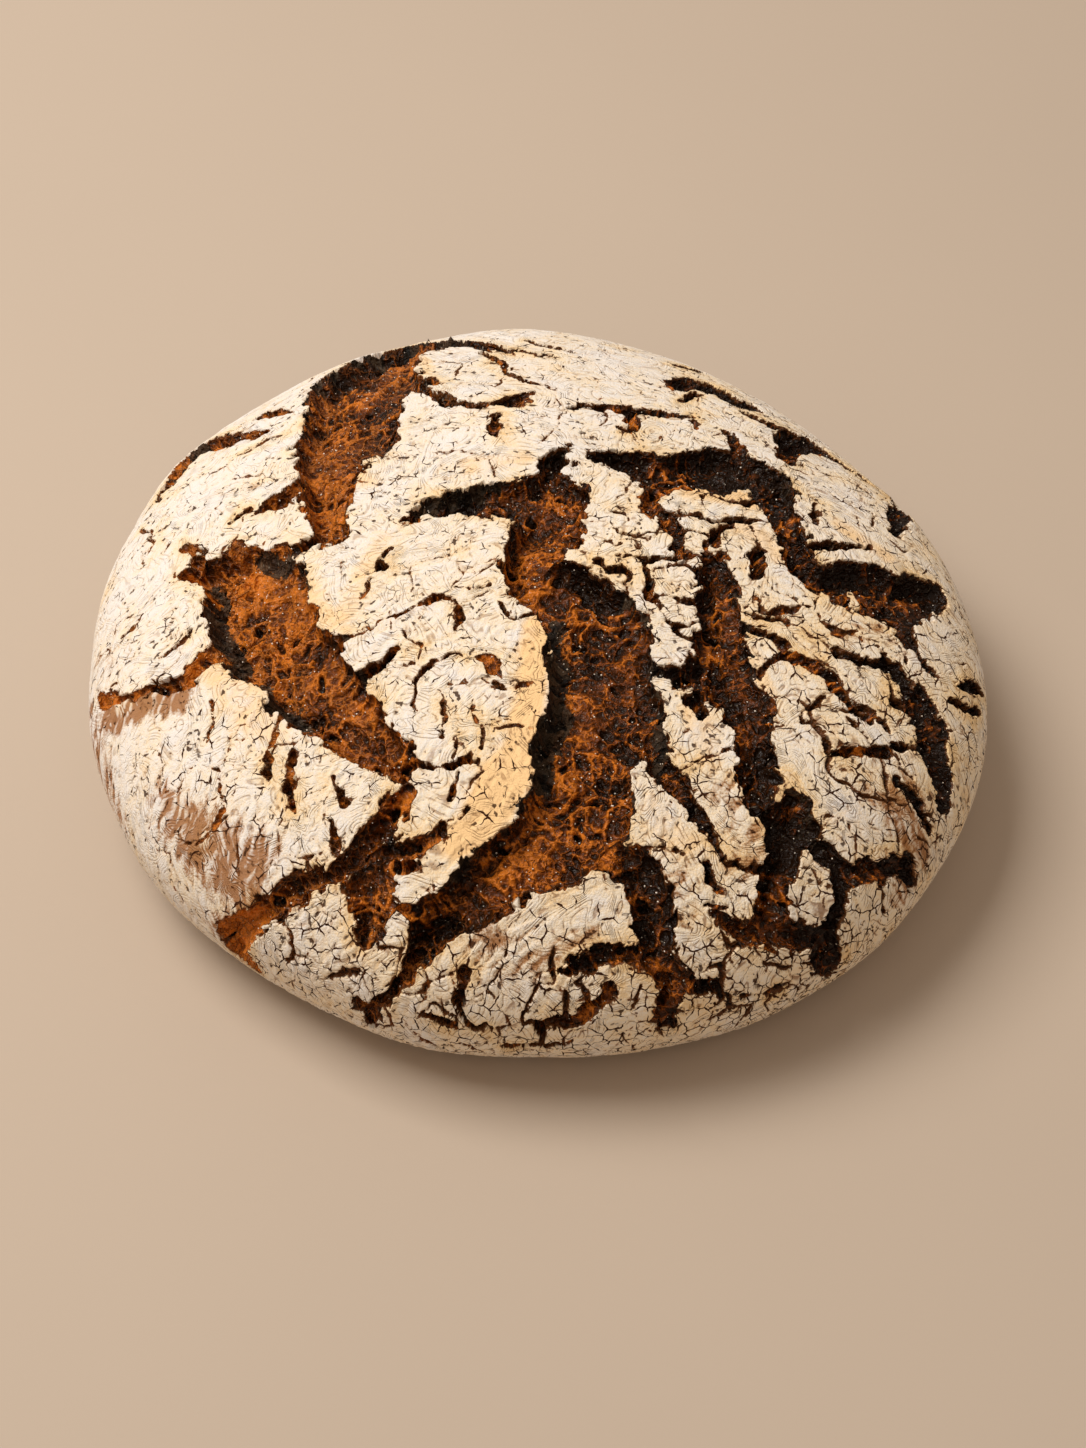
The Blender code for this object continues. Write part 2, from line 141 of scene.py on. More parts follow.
# The finer cracks and pockets between them, in the same way.
FINE_SPLITS = {
    "crack down from the far branch": (4, (-17, 109, 0.9), (-11, 101, 1.2), (-7, 95, 1.4), (-1, 86, 1.1),
                                       (8, 78, 0.6)),
    "far rim hairline": (3, (0, 120, 1.3), (14, 112, 1.3)),
    "chip on the far left canyon": (5, (-42, 84, 3), (-34, 76, 1.6)),
    "cleft beside the long far crack": (4, (34, 70, 2.5), (36, 62, 1.8), (31, 58, 1)),
    "end of the long far crack": (3, (60, 72, 1.5), (60, 65, 1)),
    "pit in the far plate": (2, (-9, 60, 1.1), (-11, 53, 2.6), (-11, 47, 1.2)),
    "left notch": (4, (-113, 8, 3.5), (-110, 14, 2), (-117, 19, 2)),
    "left chips": (4, (-100, 4, 4), (-97, 10, 3)),
    "left flap": (4, (-91, 24, 1.5), (-84, 29, 3), (-77, 35, 2.5)),
    "left hairline": (3, (-101, 24, 1.2), (-95, 26, 1.2)),
    "notch in the middle plate": (4, (-55, -52, 2.2), (-48, -49, 2), (-42, -45, 0.8)),
    "crack over the front tongue": (4, (-36, -88, 1.4), (-28, -88, 1.0), (-20, -86, 1.1), (-15, -90, 0.6),
                                    (-15, -96, 0.4)),
    "its first twig": (3, (-24, -90, 0.6), (-25, -98, 0.9)),
    "its second twig": (3, (-27, -107, 0.8), (-20, -101, 0.6)),
    "nick in the link": (5, (50, -60, 3), (50, -66, 1)),
    "hole in the right plates": (5, (73, -1, 2.2), (72.5, -6, 3), (72, -12, 2.4)),
    "crack past the plate finger": (4, (92, 7, 1.2), (100, 9.5, 1.8), (108, 13, 1.4), (114, 17, 0.8)),
    "its twig": (3, (96, 20, 1), (98, 28, 1.2), (99, 33, 0.8)),
    "right slot": (5, (64, -33, 2.5), (71, -35, 2.5), (76, -38, 2.5)),
    "right shoulder crack": (4, (95, -37, 2), (105, -38, 1.6), (112, -37, 2.6), (117, -40, 2.5)),
    "lower right crack": (4, (93, -73, 1.0), (98, -71.5, 1.8), (105, -69.5, 2.6), (111, -68, 1.7),
                          (119, -66, 1.0), (126, -64, 2)),
    "lowest right crack": (4, (112, -79, 2), (120, -83, 2.8), (127, -88, 1.5)),
    "far right chip": (5, (79, 86, 1.4), (88, 84, 2.5), (97, 82, 4)),
    "far chip": (4, (60, 93, 2.5), (54, 87, 1.2)),
    "far rim chip": (5, (54, 120, 2.5), (64, 122, 3)),
    "right rim scar": (4, (142, -34, 2), (148, -30, 3), (156, -26, 2)),
    "second right rim scar": (3, (136, -43, 1.5), (146, -42, 1.5), (152, -38, 1)),
    "left rim hairline": (2, (-140, 45, 0.8), (-135, 39, 1), (-132, 32, 1), (-132, 24, 0.6)),
    "second left rim hairline": (3, (-134, 60, 1.5), (-132, 55, 1)),
    "front left pocket": (6, (-44, -118, 3.5), (-37, -118, 3)),
    "front left chip": (5, (-39, -131, 2.5), (-34, -134, 3)),
    "low front pocket": (4, (-62, -165, 4), (-58, -168, 4), (-63, -174, 1.5)),
    "low front crack": (4, (-41, -151, 3), (-47, -156, 2.5), (-54, -162, 2.2)),
    "low front furrow": (3.5, (-21, -152, 2), (-22, -158, 1.6), (-25, -164, 2.2), (-24, -171, 1.5),
                         (-15, -173, 1.2)),
    "front arc": (4, (5, -171, 2), (12, -168, 2.6), (20, -163, 2), (24, -157, 2.8)),
    "front rim crack": (3, (3, -172, 1.6), (2, -181, 1.2)),
    "front rim line": (3, (-9, -182, 1.2), (2, -182, 1.2), (11, -179, 1)),
    "front rim chip": (3, (-40, -167, 1.5), (-33, -170, 2), (-30, -172, 1.5)),
    "furrow on the left plate": (2.5, (-76, -78, 0.8), (-77, -88, 1.7), (-75, -98, 1.0)),
    "furrow beside it": (2.5, (-83, -70, 0.7), (-85, -80, 1.1), (-84, -87, 0.6)),
    "short furrow": (2.5, (-61, -88, 0.6), (-58, -97, 1.2)),
    "lower furrow": (3, (-63, -102, 0.8), (-62, -112, 1.4)),
    "belly hairline": (2, (-101, -78, 0.4), (-101, -87, 0.6), (-104, -98, 0.8), (-111, -103, 0.5)),
    "second belly hairline": (2, (-103, -54, 0.5), (-104, -62, 0.8), (-105, -68, 0.5)),
    "upper left hairline": (2, (-98, 61, 0.5), (-92, 63, 0.7), (-85, 65, 0.5)),
    "dash on the middle plate": (2, (-20, -22, 0.8), (-13, -21, 0.8)),
    "blot on the middle plate": (2, (-47, -1, 1.1), (-49, -6, 1.2), (-48, -9, 1.7)),
    "star below it": (1.5, (-56, -21, 0.5), (-53, -18, 0.9), (-51, -13, 0.5)),
    "crack down the lower slab": (2, (-29, -61, 0.3), (-27.5, -70, 0.45), (-29, -78, 0.3)),
    "hole beside it on the slab": (2.5, (-24, -80, 0.3), (-25, -84, 0.7), (-26, -87, 0.4)),
    "crack at the slab's left": (2, (-37, -58, 0.5), (-37, -64, 0.5), (-35, -69, 0.3)),
    "crack over the toasted edge": (2.5, (-11, -29, 0.4), (-8, -32, 0.7), (-4, -34.5, 0.9), (3, -32, 0.7)),
    "crack through the toasted edge": (2.5, (-14, -58, 0.5), (-8, -61, 0.8), (-1, -60, 0.6)),
    "left plate cracks": (2, (-144, -12, 0.4), (-138, -10, 0.8), (-132, -6, 0.4)),
    "left plate slit": (2.5, (-126, -30, 0.4), (-119, -27, 1.0), (-113, -23, 0.5)),
}
# Webs of cracks that part the crust into plates: each web has its depth, then its cracks in the same way.
CRACK_WEBS = {
    "between the crown's left plates": (
        2.6, [(26, 15, 1.0), (29, 13, 0.8), (32, 9, 0.5)],
        [(27, 7, 0.7), (28.5, 3.5, 1.0), (32, 1.5, 1.0), (37, 3, 0.6), (42, 5.5, 0.5)],
        [(24, -2, 0.4), (30, -2, 0.5), (33, -0.5, 0.6), (33.5, -4, 0.5)],
        [(26, -8, 0.8), (31, -8.3, 0.9), (36, -10, 1.6), (41, -9, 1.6), (45, -8, 1.6)],
        [(36, -11, 1.6), (35, -16, 1.2), (36.5, -20, 1.8), (35, -24, 1.5)],
        [(21, -9, 0.8), (22, -13, 1.2), (26, -14, 1.4), (29, -17, 1.6), (28, -20, 0.6)],
        [(38, -15, 0.6), (42, -13, 0.9), (44, -11.5, 0.9), (51, -12, 0.6)],
        [(36, -25, 1.4), (41, -24.5, 0.6), (51, -23.5, 0.8)],
        [(37, -26, 1.4), (39, -30, 0.6), (42, -34, 0.8), (45, -33, 0.9), (50, -31, 0.5)],
        [(42, -34, 0.6), (43, -37, 0.8), (46, -38, 0.6), (50, -37, 0.8)]),
    "between the crown's right plates": (
        2.8, [(58, 24, 0.9), (57, 18, 0.7), (55, 14, 0.9), (50, 13, 1.0), (47, 11, 1.4)],
        [(60, 25, 0.8), (66, 23, 0.5), (72, 23, 0.8), (77, 24, 0.8)],
        [(55, 12, 0.8), (60, 10.5, 1.0), (66, 11.5, 1.0), (71, 13, 1.6), (77, 15.5, 0.8)],
        [(67, 9, 1.6), (63, 6.5, 1.4), (60, 3, 2.0), (60.5, -1, 1.2)],
        [(47, 8, 2.0), (50, 4, 1.6), (56, 3.2, 0.9), (60, 2, 1.2)],
        [(59, 1, 0.7), (56, -2, 0.6), (56, -5, 0.7)],
        [(46, -7, 1.4), (52, -7, 0.9), (57, -7, 1.6), (62, -6, 2.4)],
        [(73, 10, 0.5), (73, 5, 0.7), (73, 1, 1.6)]),
    "between the right plates": (
        2.4, [(69, -21, 1.2), (73, -25, 0.8), (78, -25.5, 2.0), (83, -22.5, 0.9), (88, -22, 0.5),
              (89.5, -17, 0.4)],
        [(66, -27, 0.9), (71, -28, 0.8), (75, -28, 0.6), (80, -30, 0.8), (84, -32.5, 0.6), (90, -34, 0.6),
         (96, -36, 1.2)],
        [(89, -23, 0.6), (92, -27, 0.9), (96, -30, 0.9), (100, -30, 0.5), (104, -29, 0.5), (103, -33, 0.6)],
        [(103, -32, 0.5), (109, -31.5, 0.5)],
        [(110, -39, 1.0), (112, -44, 1.2), (111, -48, 0.8), (115, -51, 2.2), (119, -54, 0.6)],
        [(117, -30, 0.5), (119, -34, 0.6), (118, -38, 0.9)],
        [(99, -53, 0.6), (103, -56, 1.4), (107, -60, 1.4), (110, -62.5, 0.8)],
        [(94, -60.5, 0.4), (98, -63, 0.9), (102, -66, 1.0), (104, -68, 1.2)],
        [(74, -42, 1.2), (73, -44, 1.0), (70, -47, 1.0), (69, -51, 0.6), (67, -54, 0.8)],
        [(88, -55, 1.2), (84, -59, 1.0), (81.5, -62, 0.6), (81, -65, 0.8), (85, -67, 1.2), (88, -70, 1.0),
         (90, -74, 0.8)],
        [(112, -70, 0.8), (113, -73.5, 0.8), (119, -75, 0.5)]),
    "across the tongue": (
        2.2, [(45, -86, 0.9), (50, -84, 0.5), (55, -80.5, 0.5), (62, -76, 0.9)],
        [(50, -98, 2.4), (53, -104, 2.0), (56, -109, 1.2), (57, -112, 0.8)],
        [(50.5, -115, 2.0), (54, -120, 2.0), (58, -122, 1.2)],
        [(56, -112.5, 0.8), (64, -114, 1.0), (71, -113.5, 1.0)],
        [(34, -112.5, 1.0), (40, -112, 0.8), (45, -113, 0.6)],
        [(70, -155, 0.6), (78, -154.5, 0.7), (84, -154, 2.2), (86, -150, 0.8)]),
    "over the slab": (
        1.8, [(-17, -65, 0.4), (-18, -70, 0.6), (-17, -74, 0.4)],
        [(-15, -76, 0.3), (-14.5, -80, 0.5), (-16, -84, 0.3)],
        [(-10, -77, 0.4), (-5, -75.5, 0.6), (0, -76, 0.5)],
        [(-25, -64, 0.6), (-25, -59, 0.4), (-20, -58.5, 0.4)],
        [(-25, -22, 0.35), (-19, -22, 0.4), (-13, -21, 0.4)],
        [(-40, -38, 0.3), (-37, -42, 0.3), (-34, -44, 0.5), (-35, -49, 0.4)]),
}
# How much of their width the webs' cracks have opened.
WEB_OPENING = 0.85
# Pieces of crust left standing in the splits: stations across and away, and half their width.
ISLANDS = [
    [(38, -54.5, 1.2), (40, -57, 2.2)],
    [(70, -96, 0.6), (73, -91.5, 1.1), (77, -87, 0.6)],
    [(-67, -77, 1.2), (-64.5, -80, 1.7), (-62, -83.5, 1.2)],
    [(-54, 41, 2.6), (-51, 42, 2.8)],
    [(103.5, -13, 1.0), (104, -16, 1.2)],
    [(82, -118, 1.4), (85, -114, 2.2), (84, -109, 1.6)],
]
# Where the crust is toasted at a raised edge, burned black at a torn one, with painted shade on the walls
# under it there, and rubbed bare of flour by the basket. Each has its strength, then stations: across, away,
# and half the width of the place.
TOASTED = [
    (1.0, (4, -30, 2), (1, -45, 4.5), (0, -60, 4), (-2, -76, 4.5), (-6, -90, 6.5), (-13, -101, 7.5),
     (-23, -112, 5)),
    (0.45, (-82, -52, 3), (-90, -42, 4), (-98, -36, 6), (-104, -38, 5), (-98, -50, 5), (-90, -62, 5),
     (-80, -72, 4)),
    (0.5, (-40, 106, 3), (-36, 98, 3)),
    (0.6, (54, 24, 3), (66, 26, 5), (76, 24, 3)),
    (0.6, (68, 10, 4), (76, 4, 4), (80, -2, 3)),
    (0.5, (67, -44, 3), (70, -54, 3)),
    (0.4, (-70, -14, 3), (-62, -34, 3), (-50, 4, 3)),
    (0.5, (-20, 34, 3), (-2, 36, 2)),
    (0.6, (106, 22, 4), (120, 14, 3)),
    (0.45, (-64, 36, 4), (-52, 30, 3)),
    (0.45, (50, -66, 4), (54, -80, 5)),
    (0.35, (36, -98, 3), (44, -108, 5)),
]
# The burned places, with painted shade on the walls there that face away from the light.
CHARRED_AND_SHADED = [
    (1.0, (6, -28, 1.6), (7, -42, 2.8), (7, -58, 3.6), (5, -76, 4.4), (0, -92, 4), (-10, -104, 3),
     (-21, -115, 2), (-31, -124, 1.5)),
    (1.0, (-110, 4, 1), (-106, -14, 2.2), (-103, -26, 3.5), (-97, -42, 1.6), (-90, -52, 2.5), (-83, -59, 3),
     (-75, -67, 1.5)),
    (0.9, (-92, 4, 1), (-84, 2, 2.2), (-76, 3, 1.5)),
    (0.8, (-74, -2, 1), (-70, -14, 1.8), (-66, -26, 1.8), (-62, -38, 2.2), (-56, -50, 2.4), (-50, -60, 1.2)),
    (0.8, (26, -20, 0.6), (33, -32, 1), (37, -46, 1.2), (39, -60, 0.8)),
    (0.8, (31, -96, 0.8), (28, -108, 1.1), (31, -116, 0.8)),
    (0.8, (64, -18, 0.6), (65, -36, 0.6), (67, -50, 0.6)),
    (0.6, (75, -80, 0.8), (82, -92, 0.8), (87, -104, 0.6)),
    (0.8, (38, -68, 1.5), (38, -80, 2.5), (42, -94, 1.5)),
    (0.7, (82, -6, 1.8), (92, -13, 1.2)),
    (0.5, (90, 48, 1.3), (93, 34, 1.3), (94, 12, 1.0)),
    (0.55, (20, 46, 0.8), (36, 49.5, 1.0), (56, 54, 1.2), (72, 57, 1.0)),
    (0.8, (-38, 17, 1.5), (-20, 25, 1.5), (-2, 27, 1.2)),
    (1.0, (-56, 132, 2), (-70, 116, 2.5), (-79, 92, 2.2), (-80, 66, 1.6), (-82, 48, 1.2)),
    (1.0, (-46, 135, 2), (-34, 128, 2), (-14, 119, 1.6), (6, 112, 1)),
    (0.4, (106, 6, 1.2), (118, 7, 2.0), (132, 9, 1.2)),
    (0.9, (-132, 74, 2), (-120, 92, 2.4), (-104, 86, 1.6)),
    (0.5, (-60, -160, 1), (-20, -164, 1)),
]
RUBBED = [
    (0.72, (-167, -26, 2), (-162, -40, 6), (-159, -56, 9), (-156, -70, 8), (-149, -81, 3)),
    (1.6, (-148, -44, 2), (-138, -46, 3), (-128, -47.5, 3), (-117, -49, 2.5)),
    (1.0, (-122, -82, 4), (-114, -96, 8), (-105, -106, 10), (-96, -117, 8), (-88, -110, 5)),
    (0.8, (-113, -132, 7), (-114, -146, 5)),
    (0.5, (-148, -20, 2), (-158, -12, 2)),
    (0.8, (114, -84, 7), (122, -96, 8), (124, -108, 6)),
    (0.5, (112, -20, 3), (102, -30, 3)),
    (0.6, (14, -140, 4), (0, -150, 5), (-18, -140, 5)),
    (0.55, (44, -122, 5), (40, -132, 4)),
    (0.5, (60, -92, 4), (64, -110, 5)),
]
# Where the crumb is drawn paler, in the same way.
PALE_CRUMB = [
    (0.75, (-96, -130, 4), (-108, -134, 6), (-113, -142, 5), (-111, -149, 3)),
    (0.25, (-140, -41, 2), (-152, -34, 2)),
    (0.12, (-96, -6, 8), (-90, -22, 12), (-86, -32, 8)),
    (0.25, (118, -7, 8), (130, -2, 6)),
    (0.15, (121, -47, 4), (127, -58, 5), (132, -68, 5)),
]
# Where the crumb is drawn darker, in the same way.
DARK_CRUMB = [
    (0.13, (-50, 118, 12), (-55, 104, 17), (-58, 88, 19), (-61, 70, 17), (-62, 52, 14)),
    (0.06, (57, -20, 8), (60, -52, 8), (68, -84, 8), (76, -112, 6)),
]
# Where the crust has crazed as it dried: middle of the place across and away, its two reaches, and how much
# of it has opened.
CRACKLED = [
    (50, 6, 40, 30, 0.22),
    (104, -48, 42, 40, 0.32),
    (108, -106, 34, 36, 0.40),
    (140, -20, 16, 60, 0.26),
    (4, -166, 82, 30, 0.43),
    (50, -92, 24, 40, 0.30),
    (-30, -66, 36, 40, 0.20),
    (-24, -10, 34, 24, 0.12),
    (10, 86, 70, 40, 0.08),
    (112, 46, 30, 44, 0.26),
    (-50, 36, 36, 22, 0.34),
    (-92, 34, 20, 24, 0.32),
    (-96, -80, 36, 40, 0.36),
    (-134, -22, 30, 30, 0.30),
    (-78, -138, 40, 26, 0.55),
    (82, -150, 40, 26, 0.52),
    (10, 58, 44, 14, 0.30),
]
# How the dough's skin was drawn out: places across and away, and the way its ridges run there in degrees.
FLOWS = [(-135, 5, 35), (-125, -75, 70), (-108, -100, 85), (-75, -85, 65), (-95, -55, 70), (-38, 5, 12),
         (-30, -40, 35), (-25, -72, 85), (-2, -60, 75), (-25, -108, 40), (-10, 70, -5), (45, 92, -12),
         (-104, 48, 35), (-60, 30, 30), (-10, 130, 0), (52, 6, 50), (75, 10, 70), (108, 45, -35),
         (112, -28, -30), (88, -28, -20), (85, -60, -45), (104, -90, -45), (140, -30, -55), (34, -30, 65),
         (38, -85, 75), (58, -112, 45), (6, -140, 30), (-15, -165, 80), (-70, -140, 45), (75, -160, -20),
         (-95, 110, 35), (110, 110, -40), (-150, -110, 60), (0, -190, 0)]
# How far apart the ridges are, and how many times longer than that they run.
RIDGE_PITCH = 1.35
RIDGE_LENGTH = 5.0

# How fast the flour thins and tans over each millimetre to the right and to the near side, partly thinner
# flour and partly painted shade on the side away from the light, and how fast painted shade darkens the crumb
# over each millimetre to the right.
FLOUR_THINNING_AND_SHADE = (0.0009, -0.0007, 0.0)
CRUMB_PAINTED_SHADE = (-0.0027, 0.0, 0.0)

# Flour dust everywhere else leaves this much of the crazing open.
CRACKLE_ELSEWHERE = 0.17
# Wide and narrow crazes: the size of the plates between them, a seed, their share of the full width, and how
# much harder they open.
CRAZES = ((13.0, 5, 1.0, 0.0), (6.2, 7, 0.6, 0.33))
# The cells drawn out by the stretched right shoulder: its middle, its reach, and the way that it pulled.
STRETCHED = {"middle": (106.0, -72.0), "reach": 62.0, "turn": -24.0, "pull": 0.24}

# The crumb's cells, coarse and fine: their size, a seed, how thick the webs between them are, how deep the
# hollows in them, and how much painted light the webs get and painted shade the hollows. Some of the coarse
# ones hold a round gas hole.
CRUMB_CELLS = ((5.8, 134, 0.42, 1.7, 0.40), (2.9, 138, 0.28, 0.6, 0.22))
GAS_HOLE_CHANCE = 0.14
GAS_HOLE_DEPTH = 1.5
GAS_HOLE_RIM = 0.35

# Torn edges wander by this much at each size of tooth, first as in the frame and then finer, and lose chips.
TEAR = {13.0: 1.6, 5.5: 0.8}
FINE_TEAR = {3.1: 1.1, 1.3: 0.5}
CHIPS = {4.4: 1.5, 2.0: 0.9}
LEAST_CHIP = 0.24
# How far splits that meet are rounded into each other.
ROUNDING = 1.2

# The crust's torn edge: the lip is drawn down, the crust behind it has curled up, and charred flakes stand up
# from the wall under it.
LIP_DROP = 0.08
LIP_WIDTH = 0.35
CURL_HEIGHT = 0.5
CURL_REACH = 3.5
FLAKE_SIZE = 3.8
FLAKE_HEIGHT = 1.2

# The crust swells between the splits, as in the frame, and the crust near the sole keeps to the dome.
SWELL_HEIGHT = 1.6
SWELL_SIZE = 48.0
SOLE_EDGE = 14.0

# What each place on the crust carries for its material, the crumb's painted light and shade and the burned
# and shaded places among them.
CARRIED = ("edge", "gap", "zone", "crumb", "grain", "toast", "char", "rub")

# The plan on which the crust is worked out: half its side and the distance between its places.
PLAN_HALF = 222.0
PLAN_PITCH = 0.4
# Distances to a split are worked out up to this far.
FARTHEST = 16.0
# Places that have no cell or craze near them read this far.
FAR_OFF = 9.0
# How many bumps and cells there are along a side before they repeat, and how many chances their edges share.
# Each unevenness has a seed of its own, so that every run gives the same loaf.
BUMP_TABLE = 64
CELL_TABLE = 128
EDGE_TABLE = 4096


def linear(code):
    """Turn an sRGB hex colour into the linear one that Blender works in."""
    shares = [int(code[i:i + 2], 16) / 255 for i in (0, 2, 4)]
    return tuple(s / 12.92 if s <= 0.04045 else ((s + 0.055) / 1.055) ** 2.4 for s in shares)


def length_setting(name, description, size):
    """A length that the user may change, given in millimetres."""
    return bpy.props.FloatProperty(name=name, description=description, default=size * MM, min=0.0,
                                   precision=5, unit="LENGTH")


def colour_setting(name, description, code):
    """A colour that the user may change, given as an sRGB hex value."""
    return bpy.props.FloatVectorProperty(name=name, description=description, default=linear(code),
                                         size=3, min=0.0, max=1.0, subtype="COLOR")


class RyeLoafSizes(bpy.types.PropertyGroup):
    """Sizes of the crust, crumb and flour."""

    wall_width: length_setting("Wall width", "How far inside a split's edge its wall reaches the crumb", 4.2)
    undercut: length_setting("Undercut", "How far the crust overhangs its walls", 0.9)
    crust_thickness: length_setting("Crust thickness", "Height of the crust's broken edge", 0.9)
    crack_width: length_setting("Crack width", "Half the width of the widest craze in the crust", 1.25)
    crack_depth: length_setting("Crack depth", "Depth of the crazes", 2.2)
    plate_lift: length_setting("Plate lift", "How far the plates between crazes stand up or down", 0.6)
    wrinkle: length_setting("Wrinkle", "Height of the ridges in the floured skin", 0.22)
    crumb_fold: length_setting("Crumb fold", "Height of the folds and strands in the torn crumb", 1.8)
    hole_radius: length_setting("Hole radius", "Radius of the largest round gas holes", 1.5)
    grain_radius: length_setting("Flour grain", "Radius of the largest loose flour grains", 0.34)
    grain_count: bpy.props.IntProperty(name="Flour grains", default=1200, min=0,
                                       description="How many loose grains lie in the splits")
    crust_cells: bpy.props.IntProperty(name="Crust cells", default=312, min=16,
                                       description="Cells along the side of a crust piece")


class RyeLoafColours(bpy.types.PropertyGroup):
    """Colours of the crust, crumb and flour."""

    flour_white: colour_setting("White flour", "Thick flour, where the basket's dusting lies whole", "ece5de")
    flour_cream: colour_setting("Cream flour", "Thin flour that has taken colour from the crust", "f0dec2")
    # The tan end also stands for the painted shade on the near right.
    flour_tan: colour_setting("Tan flour", "The thinnest flour, with the crust's brown under it", "ebc894")
    toasted: colour_setting("Toasted flour", "Flour toasted on a raised edge", "f7ce97")
    cut_crust: colour_setting("Crust edge", "The broken edge of the crust under the flour", "7d4a22")
    bare_crust: colour_setting("Rubbed crust", "Crust where the flour has rubbed off", "9e6634")
    # Painted light: the lit strands and hole rims, and the glow of light through them.
    crumb_lit: colour_setting("Crumb strands", "Thin glossy strands and hole rims", "cf7422")
    crumb_warm: colour_setting("Crumb", "The torn crumb's own brown", "6c340a")
    crumb_brown: colour_setting("Brown crumb", "Crumb baked darker", "3b1c04")
    frost: colour_setting("Crumb frost", "Fine flour caught on the crumb's strands", "86542c")
    # Painted shade in the crumb's hollows and gas holes.
    crumb_dark: colour_setting("Crumb hollows", "Hollows and gas holes", "1d0e04")
    # Burned edges, and the painted shade on the walls under them.
    charred: colour_setting("Charred crust", "Edges that burned where the split opened", "140f09")
    # Ashen fibres, and the painted sheen on the burned flakes.
    ash: colour_setting("Ashen fibres", "Grey fibres on the burned edges", "5a4734")
    sole_crust: colour_setting("Sole crust", "The flat baked underside", "8e6238")


class RyeLoafStudio(bpy.types.PropertyGroup):
    """The studio around the loaf."""

    floor_colour: colour_setting("Floor", "Plain pale floor", "bbaa98")
    key_power: bpy.props.FloatProperty(name="Key light", default=26.0, min=0.0, unit="POWER",
                                       description="Power of the soft light from the far left")
    key_size: length_setting("Key size", "Side of the soft light", 950.0)
    sky_colour: colour_setting("Fill", "Colour of the light from all round", "ffeedd")
    sky_strength: bpy.props.FloatProperty(name="Fill strength", default=0.46, min=0.0,
                                          description="Strength of the light from all round")
    lens: bpy.props.FloatProperty(name="Lens", default=67.08, min=1.0, unit="CAMERA",
                                  description="Focal length of the camera in millimetres")


def ease(t):
    """Rise smoothly from 0 to 1 as t does."""
    t = np.clip(t, 0.0, 1.0)
    return t * t * (3.0 - 2.0 * t)


def blend_corners(corner, fx, fy):
    """The value between a square's corners, for the shares of the way across it and up it."""
    near = corner(0, 0) * (1 - fx) + corner(1, 0) * fx
    far = corner(0, 1) * (1 - fx) + corner(1, 1) * fx
    return near * (1 - fy) + far * fy


def bumps(u, v, size, seed, angular=False):
    """Uneven bumps from -1 to 1, about size across, smooth or with straight flanks."""
    table = np.random.default_rng(seed).uniform(-1.0, 1.0, (BUMP_TABLE, BUMP_TABLE))
    x, y = u / size, v / size
    i, j = np.floor(x).astype(int), np.floor(y).astype(int)
    shares = (x - i, y - j) if angular else (ease(x - i), ease(y - j))
    return blend_corners(lambda a, b: table[(i + a) % BUMP_TABLE, (j + b) % BUMP_TABLE], *shares)


def wandered(u, v, reaches, seed, angular=False):
    """Places moved about unevenly: by how much, at each size of bump."""
    for turn, (size, reach) in enumerate(reaches.items()):
        u, v = (u + reach * bumps(u, v, size, seed + turn, angular),
                v + reach * bumps(u, v, size, seed + 10 + turn, angular))
    return u, v


def side_profile():
    """Run from the crown over the girth to the sole's edge: distance run, share of radius, height."""
    turn = np.linspace(0.0, np.pi / 2, 2000)
    share = np.concatenate([np.sin(turn) ** (2 / SHOULDER_FULLNESS),
                            SOLE_SHARE + (1 - SOLE_SHARE) * np.cos(turn[1:])])
    height = np.concatenate([GIRTH_HEIGHT + (CROWN_HEIGHT - GIRTH_HEIGHT) * np.cos(turn),
                             GIRTH_HEIGHT * (1 - np.sin(turn[1:]))])
    steps = np.hypot(np.diff(share * GIRTH_RADIUS), np.diff(height))
    return np.concatenate([[0.0], np.cumsum(steps)]), share, height


RUN, SHARE, RISE = side_profile()


def outline_radius(angle):
    """The girth radius in each direction."""
    waves = sum(c * np.cos(n * angle) + s * np.sin(n * angle) for n, (c, s) in OUTLINE_WAVES.items())
    return GIRTH_RADIUS * (1 + waves)


def on_dome(u, v):
    """The smooth dome's point for each place on the crust."""
    run, angle = np.hypot(u, v), np.arctan2(v, u)
    radius = outline_radius(angle) * np.interp(run, RUN, SHARE)
    return np.stack([radius * np.cos(angle), radius * np.sin(angle), np.interp(run, RUN, RISE)], axis=-1)


def dome_normal(u, v, step=0.5):
    """The dome's outward direction for each place on the crust."""
    across = on_dome(u + step, v) - on_dome(u - step, v)
    away = on_dome(u, v + step) - on_dome(u, v - step)
    normal = np.cross(across, away)
    return normal / np.linalg.norm(normal, axis=-1, keepdims=True)


def smooth_route(stations, pieces=4):
    """Stations joined by a smooth curve through all of them."""
    knots = np.array([stations[0], *stations, stations[-1]], dtype=float)
    route = [knots[1]]
    for a, b, c, d in zip(knots, knots[1:], knots[2:], knots[3:]):
        for t in np.linspace(0, 1, pieces + 1)[1:]:
            route.append(0.5 * (2 * b + (c - a) * t + (2 * a - 5 * b + 4 * c - d) * t ** 2
                                + (3 * b - a - 3 * c + d) * t ** 3))
    return np.array(route)


def plan_span(low, high):
    """The part of one side of the plan from low to high."""
    first = max(int((low + PLAN_HALF) / PLAN_PITCH), 0)
    return slice(first, max(int((high + PLAN_HALF) / PLAN_PITCH) + 2, first))


